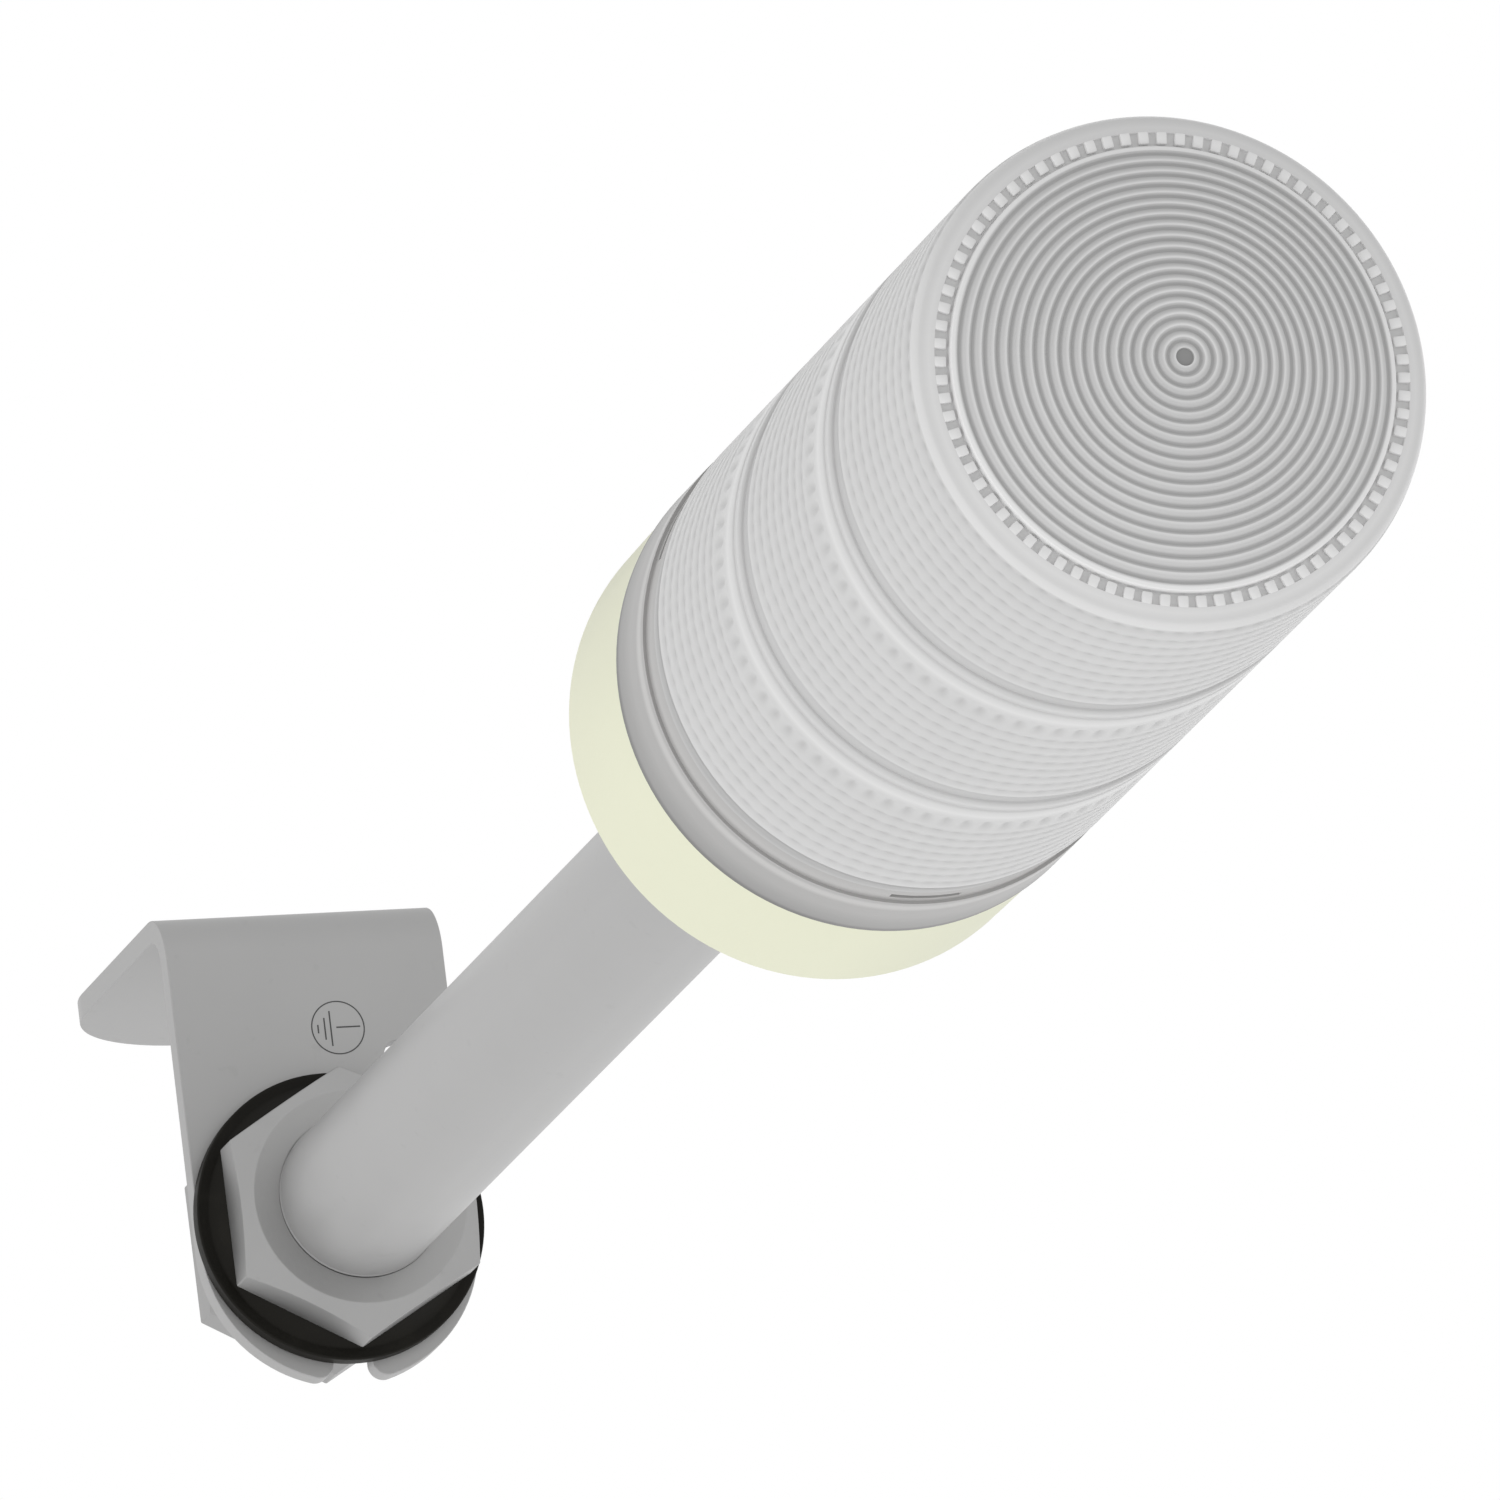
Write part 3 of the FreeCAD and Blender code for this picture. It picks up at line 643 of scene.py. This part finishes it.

# %% [markdown]
# ## Flutes and dimples
#
# Eighty shallow flutes run down the outside. They hardly show on the plain wall, but a groove is
# deepest and has the most painted shade where it crosses one, so it reads as a row of short dashes.
# In the band of dimples each flute has one round hollow with painted shade. A cosine of the turn
# round the axis gives 1 in the middle of a flute and 0 halfway to the next, and this one number
# presses both of them and sets their painted shade.

# %% Shape the points of a flute
FLUTES = 80
SLICE = 2 * math.pi / FLUTES
WALL = 2.0 * MM
LIP_GROOVE = 39.1 * MM
DIMPLE_FOOT = 30.2 * MM
DIMPLE_TOP = 34.6 * MM
DIMPLE_DEPTH = 0.4 * MM
# Painted shade in a dimple's hollow, and in a groove between and at the flutes.
DIMPLE_SHADE = 0.36
# Powers above 1 draw a hollow in from its edges.
DIMPLE_ALONG = 1.5
DIMPLE_ACROSS = 1.4
CROSSING_POWER = 1.5
GROOVE_SHADE = 0.03
CROSSING_SHADE = 0.3
# The share of its depth that a groove loses between two flutes.
GROOVE_FILL = 0.45


def flute_shape(vertex, shade, dimpled):
    """Press a point of the outer wall inwards, as the flute, groove or dimple there needs, and set
    its painted shade.
    """
    radius = math.hypot(vertex.co.x, vertex.co.y)
    height = vertex.co.z
    outer_wall = radius > TOWER_RADIUS - WALL / 2
    if not outer_wall or not TAPER_TOP < height < LIP_GROOVE - GROOVE_HALF:
        return
    turn = math.atan2(vertex.co.y, vertex.co.x)
    crossing = 0.5 + 0.5 * math.cos(turn / SLICE * 2 * math.pi)
    press = 0.0
    if dimpled and height > DIMPLE_FOOT:
        if height < DIMPLE_TOP:
            along = (height - DIMPLE_FOOT) / (DIMPLE_TOP - DIMPLE_FOOT)
            hollow = math.sin(math.pi * along) ** DIMPLE_ALONG * crossing**DIMPLE_ACROSS
            vertex[shade] = DIMPLE_SHADE * hollow
            press = DIMPLE_DEPTH * hollow
    elif vertex[shade] > 0:
        vertex[shade] *= GROOVE_SHADE + CROSSING_SHADE * crossing**CROSSING_POWER
        press = GROOVE_DEPTH * (crossing - 1) * GROOVE_FILL
    vertex.co.x *= (radius - press) / radius
    vertex.co.y *= (radius - press) / radius


print("flutes:", FLUTES, "degrees each:", round(math.degrees(SLICE), 2))

# %% [markdown]
# ## Spinning and standing
#
# Nearly everything on the tower is round, so one operator makes most of it: `spin` sweeps points
# round an axis. It works round the origin, where the sums are short, and a second helper then moves
# the finished shape to the tower's axis and lifts it to its height.

# %% Spin a shape and stand it on the axis


def spin(shape, geometry, angle, steps, **choices):
    """Spin geometry of a bmesh round the Z axis."""
    return bmesh.ops.spin(
        shape,
        geom=geometry,
        cent=(0, 0, 0),
        axis=(0, 0, 1),
        angle=angle,
        steps=steps,
        **choices,
    )


def stand(shape, height):
    """Move a shape from the origin to the tower's axis, and lift it to a height."""
    bmesh.ops.translate(shape, verts=shape.verts, vec=AXIS + Vector((0, 0, height)))


print("tower axis at", [round(value, 4) for value in AXIS])

# %% [markdown]
# ## Eighty flutes from one
#
# It would be slow to shape the whole wall point by point. The section is spun through one flute
# only, that narrow slice is shaped, and `spin` with `use_duplicate` then repeats it until eighty
# slices stand round the axis. Welding their shared edges makes one closed wall.

# %% Spin a shaped slice into a whole tier
SLICE_STEPS = 6


def copy_round(shape):
    """Set the flute's worth of geometry eighty times round the axis."""
    whole = shape.verts[:] + shape.edges[:] + shape.faces[:]
    spin(shape, whole, SLICE * (FLUTES - 1), FLUTES - 1, use_duplicate=True)


def turned(name, section, node, dimpled):
    """Spin a section round the tower's axis, with its flutes, and let it stand for a solid."""
    shape = bmesh.new()
    shade = shape.verts.layers.float.new("shade")
    first = Matrix.Rotation(-SLICE / 2, 3, "Z")
    points = []
    for radius, height, dark in section:
        points.append(shape.verts.new(first @ Vector((radius, 0, height))))
        points[-1][shade] = dark
    line = [shape.edges.new(pair) for pair in zip(points, points[1:])]
    line.append(shape.edges.new((points[-1], points[0])))
    spin(shape, points + line, SLICE, SLICE_STEPS, use_merge=False)
    for vertex in shape.verts:
        flute_shape(vertex, shade, dimpled)
    copy_round(shape)
    bmesh.ops.remove_doubles(shape, verts=shape.verts, dist=WELD)
    stand(shape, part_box(node)[0].z)
    return piece(name, shape, "clear_lens", node, sharp=SOFT_CREASE)


print("steps in a whole turn:", SLICE_STEPS * FLUTES)

# %% [markdown]
# ## The two lower tiers
#
# The bottom and middle tiers are alike. Above the grooves their section goes on with the band of
# dimples, a smooth band of painted light, one more fine groove and the upper lip, and it closes
# down the plain inside. The bottom tier sits in the ring's lip, so its foot is in shadow and gets
# more painted shade.

# %% Build the two lower tiers
SHADED_FOOT = (0.41, 0.75, 0.75)
DIMPLE_STEPS = 8
# Each pair is a height in millimetres and a shade, below 0 for painted light.
PAINTED_LIGHT_BAND = ((35.3, -0.19), (36.2, -0.37), (37.2, -0.26), (38.2, -0.08))
LIP_GROOVE_HALF = 0.3 * MM
LIP_GROOVE_SHADE = 0.25
LIP_EDGE = 0.25 * MM


def open_tier(node, foot_shades):
    """One of the two lower tiers: the ribbed wall, the upper lip and a plain inside."""
    section = ribbed_wall(OPEN_GROOVES, foot_shades)
    for step in range(DIMPLE_STEPS + 1):
        height = DIMPLE_FOOT + (DIMPLE_TOP - DIMPLE_FOOT) * step / DIMPLE_STEPS
        section.append((TOWER_RADIUS, height, 0.0))
    for height, shade in PAINTED_LIGHT_BAND:
        section.append((TOWER_RADIUS, height * MM, shade))
    section += groove(LIP_GROOVE, LIP_GROOVE_HALF, GROOVE_DEPTH, dark=LIP_GROOVE_SHADE)
    # The upper lip carries a touch of painted light and painted shade at its edge.
    section += [
        (TOWER_RADIUS, TIER_HEIGHT - 1.4 * MM, -0.1),
        (TOWER_RADIUS, TIER_HEIGHT - LIP_EDGE, 0.0),
        (TOWER_RADIUS - LIP_EDGE, TIER_HEIGHT, 0.1),
        (TOWER_RADIUS - WALL, TIER_HEIGHT, 0.0),
        (TOWER_RADIUS - WALL, 0.0, 0.0),
    ]
    return turned(f"{node}_ribbed", section, node, dimpled=True)


open_tier("lens_bottom", SHADED_FOOT)
open_tier("lens_middle", FAINTLY_SHADED_FOOT)

# %% [markdown]
# ## The curves of the roof
#
# The top tier is closed by a shallow dome inside a raised rim, and its wall rolls inwards over a
# rounded shoulder. The dome is a parabola and the shoulder a quarter of an ellipse. Two functions
# hold these curves, so each ring can ask how high the dome is where it lies.

# %% Describe the dome and the shoulder
RIM = TOWER_RADIUS - 4.65 * MM
RIM_HEIGHT = 0.5 * MM
RIM_LEVEL = TIER_HEIGHT - 4.6 * MM
LEDGE = RIM_LEVEL - 0.6 * MM
ROOF_RISE = 5.4 * MM
SHOULDER_DROP = 3.2 * MM
SHOULDER_REACH = 1.3 * MM


def dome(radius):
    """Height of the roof's smooth surface at a radius, above the tier's foot."""
    return RIM_LEVEL + RIM_HEIGHT + (ROOF_RISE - RIM_HEIGHT) * (1 - (radius / RIM) ** 2)


def shoulder(height):
    """The outside radius of the top tier, which rolls inwards at its shoulder."""
    up = min(max((height - LEDGE + SHOULDER_DROP) / SHOULDER_DROP, 0), 1)
    return TOWER_RADIUS - SHOULDER_REACH * (1 - math.sqrt(1 - up * up))


print("the dome rises from", round(dome(RIM), 4), "to", round(dome(0), 4))

# %% [markdown]
# ## Eighteen rings
#
# The dome carries eighteen rings, like ripples. Going inwards, each one is a groove with painted
# shade and then a crest with a painted highlight at its inner edge. One ring is a short table of
# shares of the pitch, of the depth and of painted light and shade, and a loop repeats it from the
# rim to the eye and lays it on the dome.

# %% Write the rings
RINGS = 18
RIM_WIDTH = 0.7 * MM
LAST_RING = 0.97 * MM
RING_DEPTH = 0.3 * MM
# Each row is a share of the pitch, a share of the depth and a shade: painted shade in the groove,
# painted highlight at the crest's inner edge.
RING_PROFILE = (
    (0.0, 0.3, 0.0),
    (0.16, 1.0, 0.46),
    (0.34, 1.0, 0.46),
    (0.48, 0.3, -0.05),
    (0.62, 0.0, -0.2),
    (0.88, 0.0, -0.7),
)


def ring_ripples():
    """The rings from the rim inwards: each a groove with painted shade, and a crest with a painted
    highlight at its inner edge.
    """
    outermost = RIM - RIM_WIDTH
    pitch = (outermost - LAST_RING) / RINGS
    section = []
    for ring in range(RINGS):
        outer = outermost - ring * pitch
        for share, drop, dark in RING_PROFILE:
            radius = outer - share * pitch
            section.append((radius, dome(radius) - drop * RING_DEPTH, dark))
    return section


print("points in the rings:", len(ring_ripples()))

# %% [markdown]
# ## The top tier
#
# From the wall inwards the roof has the shoulder, a narrow flat crown, a channel, the bright rim,
# the rings and a small sunken eye. The shoulder, the crown and the channel get painted light, so
# they look pale, the rim gets the palest painted light of all, and the eye gets painted shade. The
# same `turned` function that made the lower tiers spins the section.

# %% Build the top tier
TOP_GROOVES = 10
TEETH_INNER = RIM + 0.4 * MM
TEETH_OUTER = TEETH_INNER + 1.4 * MM
EYE = 1.15 * MM
EYE_DEPTH = 0.2 * MM
# Shares of the shoulder's height, closer together where it turns most.
SHOULDER_STEPS = (0.62, 0.74, 0.84, 0.92, 0.97, 1.0)
# Painted light on the shoulder, crown, channel and rim; the sunk eye gets painted shade.
SHOULDER_PAINTED_LIGHT = -0.42
CROWN_PAINTED_LIGHT = (-0.56, -0.5)
CHANNEL_PAINTED_LIGHT = -0.5
RIM_PAINTED_LIGHT = (-0.7, -1.0)


def roof():
    """Shoulder, crown, channel, bright rim, rings and eye, from the outside in."""
    section = []
    for up in SHOULDER_STEPS:
        height = LEDGE - SHOULDER_DROP * (1 - up)
        section.append((shoulder(height), height, SHOULDER_PAINTED_LIGHT))
    section += [
        (TEETH_OUTER + 0.8 * MM, RIM_LEVEL - 0.25 * MM, CROWN_PAINTED_LIGHT[0]),
        (TEETH_OUTER + 0.1 * MM, RIM_LEVEL - 0.05 * MM, CROWN_PAINTED_LIGHT[1]),
        (TEETH_OUTER, LEDGE + 0.1 * MM, CHANNEL_PAINTED_LIGHT * 0.8),
        (TEETH_INNER, LEDGE - 0.1 * MM, CHANNEL_PAINTED_LIGHT),
        (RIM + 0.1 * MM, LEDGE - 0.1 * MM, CHANNEL_PAINTED_LIGHT),
        (RIM, RIM_LEVEL + RIM_HEIGHT - 0.1 * MM, RIM_PAINTED_LIGHT[0]),
        (RIM - RIM_WIDTH * 0.2, RIM_LEVEL + RIM_HEIGHT, RIM_PAINTED_LIGHT[1]),
        (RIM - RIM_WIDTH * 0.6, RIM_LEVEL + RIM_HEIGHT, RIM_PAINTED_LIGHT[1]),
    ]
    section += ring_ripples()
    section += [
        # The sunk eye gets painted shade.
        (EYE, dome(EYE), 0.0),
        (EYE * 0.9, dome(EYE) - EYE_DEPTH, 1.0),
        (0.0, dome(EYE) - EYE_DEPTH, 1.0),
        (0.0, RIM_LEVEL + ROOF_RISE - WALL, 0.0),
        (TOWER_RADIUS - WALL - 3.0 * MM, LEDGE - WALL, 0.0),
        (TOWER_RADIUS - WALL, RIM_LEVEL - 7.0 * MM, 0.0),
        (TOWER_RADIUS - WALL, 0.0, 0.0),
    ]
    return section


top_section = ribbed_wall(TOP_GROOVES, FAINTLY_SHADED_FOOT, shoulder) + roof()
turned("lens_top_ribbed", top_section, "lens_top", dimpled=False)

# %% [markdown]
# ## Teeth in the channel
#
# Eighty small teeth reach from the crown into the channel beside the rim. One is a cube that is
# scaled and rounded by a bevel. The same `spin` that copied the flutes copies it, so each tooth has
# only a few dozen faces.

# %% Set the row of teeth
TOOTH_WIDTH = 1.3 * MM
TOOTH_ROOT = 0.2 * MM
TOOTH_FOOT = 0.2 * MM
TOOTH_EDGE = 0.22 * MM
# Painted light that makes the teeth pale.
TOOTH_PAINTED_LIGHT = -0.9


def row_of_teeth():
    """One rounded tooth from the crown to the channel's floor, eighty times."""
    shape = bmesh.new()
    shade = shape.verts.layers.float.new("shade")
    bmesh.ops.create_cube(shape, size=1.0)
    height = RIM_LEVEL - LEDGE + TOOTH_FOOT
    size = Vector((TEETH_OUTER - TEETH_INNER + TOOTH_ROOT, TOOTH_WIDTH, height))
    bmesh.ops.scale(shape, vec=size, verts=shape.verts)
    round_edges(shape, shape.edges[:], TOOTH_EDGE)
    for vertex in shape.verts:
        vertex[shade] = TOOTH_PAINTED_LIGHT
    middle = (TEETH_INNER + TEETH_OUTER + TOOTH_ROOT) / 2
    bmesh.ops.translate(shape, verts=shape.verts, vec=(middle, 0, RIM_LEVEL - height / 2))
    copy_round(shape)
    stand(shape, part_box("lens_top")[0].z)
    return piece("bead_ring", shape, "clear_lens")


row_of_teeth()

# %% [markdown]
# ## The look of a stamped line
#
# A line that is pressed into plated steel is drawn nearly black. Its finish is a dull dark metal
# with a very fine grain.

# %% Make the finish of the stamped line
LINE_LEVELS = (0.05, 0.11)


def stamped_line():
    finish = Finish("stamped_line", Metallic=0.3)
    grain = finish.noise(per_metre=3000.0, detail=2.0)
    colour = finish.blend(grain, grey(LINE_LEVELS[0]), grey(LINE_LEVELS[1]))
    return finish.surface(Base_Color=colour, Roughness=0.55 + grain * 0.1)


LINE = stamped_line()
print("made", LINE.name)

# %% [markdown]
# ## Earth sign
#
# A ring with the common earth mark is stamped beside the tube, next to the hole for the earth
# screw. Its line is a fifth of a millimetre wide, so it is built as very low ridges: a ring spun
# from a small flattened circle, and four flattened cubes for the stem and the three bars.

# %% Stamp the earth sign
SIGN_CENTRE = AXIS + Vector((3.3 * MM, 26.0 * MM, PLATE_TOP))
SIGN_RADIUS = 3.55 * MM
SIGN_STEPS = 72
LINE_WIDTH = 0.2 * MM
LINE_HEIGHT = 0.03 * MM
# Each pair is a bar's distance from the tower's axis and its length, in millimetres.
EARTH_BARS = ((2.32, 4.75), (1.52, 2.95), (0.6, 1.15))
BARS_BACK = 0.08 * MM
STEM_ACROSS = 4.7 * MM
STEM_FORWARD = 0.05 * MM
STEM_LENGTH = 3.25 * MM


def bar(shape, centre, length, breadth):
    """A low flat bar, centred on a point of the plate."""
    size = Matrix.Diagonal((length, breadth, LINE_HEIGHT, 1))
    bmesh.ops.create_cube(shape, size=1.0, matrix=Matrix.Translation(centre) @ size)


def earth_sign():
    """The ring, the three bars and the stem, as one piece with the dark finish."""
    shape = bmesh.new()
    start = Matrix.Translation(Vector((SIGN_RADIUS, 0, 0))) @ Matrix.Rotation(math.pi / 2, 4, "X")
    bmesh.ops.create_circle(shape, segments=6, radius=LINE_WIDTH / 2, matrix=start)
    bmesh.ops.scale(shape, vec=(1, 1, 2 * LINE_HEIGHT / LINE_WIDTH), verts=shape.verts)
    spin(shape, shape.verts[:] + shape.edges[:], 2 * math.pi, SIGN_STEPS, use_merge=True)
    bmesh.ops.translate(shape, verts=shape.verts, vec=SIGN_CENTRE)
    for across, length in EARTH_BARS:
        middle = Vector((AXIS.x + across * MM, SIGN_CENTRE.y - BARS_BACK, PLATE_TOP))
        bar(shape, middle, LINE_WIDTH, length * MM)
    stem = Vector((AXIS.x + STEM_ACROSS, SIGN_CENTRE.y + STEM_FORWARD, PLATE_TOP))
    bar(shape, stem, STEM_LENGTH, LINE_WIDTH)
    sign = piece("earth_sign", shape, "bracket_steel")
    sign.data.materials[0] = LINE
    return sign


earth_sign()

# %% [markdown]
# ## Thread on the tube
#
# The tube is threaded where the nuts sit, and the last turns show under the lower nut and just
# above the upper one. A thread is a spin that climbs: a small triangle goes round the axis while
# each step lifts it, so one turn rises by the pitch.

# %% Cut the visible turns of the thread
TUBE_RADIUS = (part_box("pole")[1].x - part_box("pole")[0].x) / 2
THREAD_PITCH = 1.5 * MM
THREAD_HALF = THREAD_PITCH * 0.3
THREAD_ROOT = TUBE_RADIUS - 0.05 * MM
THREAD_CREST = TUBE_RADIUS + 0.14 * MM
TURN_STEPS = 60
NUT_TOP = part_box("upper_nut")[1].z
TURNS_HIDDEN = 1.2 * MM
TURNS_SHOWN = 2.4 * MM


def thread(name, low, high):
    """A low helical ridge on the tube between two heights."""
    turns = (high - low) / THREAD_PITCH - 1
    shape = bmesh.new()
    corners = [
        shape.verts.new((THREAD_ROOT, 0, 0)),
        shape.verts.new((THREAD_CREST, 0, THREAD_HALF)),
        shape.verts.new((THREAD_ROOT, 0, 2 * THREAD_HALF)),
    ]
    edges = [shape.edges.new((corners[i], corners[(i + 1) % 3])) for i in range(3)]
    shape.faces.new(corners)
    spun = spin(
        shape,
        corners + edges,
        angle=2 * math.pi * turns,
        steps=round(turns * TURN_STEPS),
        dvec=(0, 0, THREAD_PITCH / TURN_STEPS),
        use_merge=False,
    )
    end = [item for item in spun["geom_last"] if isinstance(item, bmesh.types.BMVert)]
    shape.faces.new(end)
    stand(shape, low)
    return piece(name, shape, "tube_steel")


thread("tube_thread_tail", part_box("pole")[0].z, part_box("lower_nut")[0].z)
thread("tube_thread_foot", NUT_TOP - TURNS_HIDDEN, NUT_TOP + TURNS_SHOWN)

# %% [markdown]
# ## White to the eye, grey to the part
#
# The stack light is seen against pure white, but white surroundings would flood it with light. The
# Light Path node knows what each ray is for, so a shader can look white to the camera, in
# reflections and through clear plastic, and still light the part like plain grey. Two helpers build
# that choice into any node tree.

# %% Choose a shader by the kind of ray
LIGHT_PATH_RAYS = ("Is Camera Ray", "Is Glossy Ray", "Is Transmission Ray")


def seen_directly(tree):
    """1 for rays that look at the surroundings, 0 for rays that only light the part."""
    path = tree.nodes.new("ShaderNodeLightPath")
    seen, *others = (path.outputs[ray] for ray in LIGHT_PATH_RAYS)
    for ray in others:
        either = tree.nodes.new("ShaderNodeMath")
        either.operation = "MAXIMUM"
        tree.links.new(seen, either.inputs[0])
        tree.links.new(ray, either.inputs[1])
        seen = either.outputs[0]
    return seen


def mix_by_ray(tree, lighting, looking, ending):
    """End a tree in one shader for rays that light the part and another for rays that look."""
    mix = tree.nodes.new("ShaderNodeMixShader")
    tree.links.new(seen_directly(tree), mix.inputs[0])
    tree.links.new(lighting.outputs[0], mix.inputs[1])
    tree.links.new(looking.outputs[0], mix.inputs[2])
    tree.links.new(mix.outputs[0], tree.nodes[ending].inputs["Surface"])


print("rays that see white:", ", ".join(LIGHT_PATH_RAYS))

# %% [markdown]
# ## The sky
#
# Light from all round fills the shadows and keeps pale plastic from looking harsh. A plain grey
# world gives it, and its strength sets how bright the sides look that no lamp reaches.

# %% Make the world
WORLD_LEVEL = 0.62


def white_world():
    world = bpy.data.worlds.new("studio")
    bpy.context.scene.world = world
    world.use_nodes = True
    tree = world.node_tree
    plain = tree.nodes["Background"]
    plain.inputs["Color"].default_value = grey(1.0)
    plain.inputs["Strength"].default_value = WORLD_LEVEL
    white = tree.nodes.new("ShaderNodeBackground")
    white.inputs["Color"].default_value = grey(1.0)
    mix_by_ray(tree, plain, white, "World Output")


white_world()
print("world level", WORLD_LEVEL)

# %% [markdown]
# ## The floor
#
# The stack light hangs on a wall, so the floor lies well below it. It is wide enough to fill the
# view, and it throws a soft light upwards.

# %% Lay the floor
FLOOR_DROP = 0.35
FLOOR_HALF = 6.0
FLOOR_LEVEL = 0.8


def floor():
    """A wide pale floor below the part."""
    shape = bmesh.new()
    bmesh.ops.create_grid(shape, x_segments=1, y_segments=1, size=FLOOR_HALF)
    bmesh.ops.translate(shape, verts=shape.verts, vec=(0, 0, cad_box[0][2] - FLOOR_DROP))
    mesh = bpy.data.meshes.new("floor")
    shape.to_mesh(mesh)
    shape.free()
    material = bpy.data.materials.new("pale_floor")
    material.use_nodes = True
    tree = material.node_tree
    paint = tree.nodes["Principled BSDF"]
    paint.inputs["Base Color"].default_value = grey(FLOOR_LEVEL)
    paint.inputs["Roughness"].default_value = 0.9
    glow = tree.nodes.new("ShaderNodeEmission")
    glow.inputs["Color"].default_value = grey(1.0)
    mix_by_ray(tree, paint, glow, "Material Output")
    mesh.materials.append(material)
    thing = bpy.data.objects.new("floor", mesh)
    bpy.context.scene.collection.objects.link(thing)


floor()
print("floor at", round(cad_box[0][2] - FLOOR_DROP, 3))

# %% [markdown]
# ## Lamps
#
# A large soft lamp low on each side brightens the flanks of the tube and the tower, and leaves the
# faces that look up a little darker. The left one is the stronger, so round shapes keep a gradient.
# The lamps are hidden from glossy rays, which would see them as glare on the bright metal.

# %% Hang the two lamps
MIDDLE = sum((Vector(corner) for corner in cad_box), Vector()) / 2
LAMP_SIZE = 1.4


def soft_lamp(name, position, power):
    """A square lamp that looks at the middle of the part, from a position measured from there."""
    light = bpy.data.lights.new(name, "AREA")
    light.shape = "SQUARE"
    light.size = LAMP_SIZE
    light.energy = power
    lamp = bpy.data.objects.new(name, light)
    lamp.location = MIDDLE + Vector(position)
    lamp.rotation_euler = (MIDDLE - lamp.location).to_track_quat("-Z", "Y").to_euler()
    lamp.visible_glossy = False
    bpy.context.scene.collection.objects.link(lamp)


soft_lamp("left_lamp", (-1.6, -0.85, 0.5), power=14.5)
soft_lamp("right_lamp", (1.2, -1.15, 0.5), power=8.0)
print("two lamps round", [round(value, 3) for value in MIDDLE])

# %% [markdown]
# ## Camera
#
# The view is from high in front and from a long way off, so the tower hardly narrows with distance.
# The camera is turned about its own axis, and the tower leans across the frame. Its place is worked
# out from two angles and a distance to a point inside the tube, and the turn comes last.

# %% Place the camera
AZIMUTH = math.radians(-49.2)
ELEVATION = math.radians(68.109)
ROLL = math.radians(44.34)
DISTANCE = 4.3002
TARGET = Vector((-2.843 * MM, -39.906 * MM, 251.28 * MM))
SENSOR = 36.0
LENS_LENGTH = 827.14
FAR_CLIP = 100.0


def hang_camera():
    """Look at the target from the two angles and the distance, and turn the camera last."""
    back = Vector(
        (
            math.sin(AZIMUTH) * math.cos(ELEVATION),
            -math.cos(AZIMUTH) * math.cos(ELEVATION),
            math.sin(ELEVATION),
        )
    )
    data = bpy.data.cameras.new("camera")
    data.sensor_width = SENSOR
    data.lens = LENS_LENGTH
    data.clip_end = FAR_CLIP
    camera = bpy.data.objects.new("camera", data)
    upright = back.to_track_quat("Z", "Y").to_matrix().to_4x4()
    turn = Matrix.Rotation(ROLL, 4, "Z")
    camera.matrix_world = Matrix.Translation(TARGET + back * DISTANCE) @ upright @ turn
    bpy.context.scene.collection.objects.link(camera)
    bpy.context.scene.camera = camera


hang_camera()
bpy.context.scene.view_settings.view_transform = "Standard"
print("camera at", [round(value, 3) for value in bpy.context.scene.camera.location])
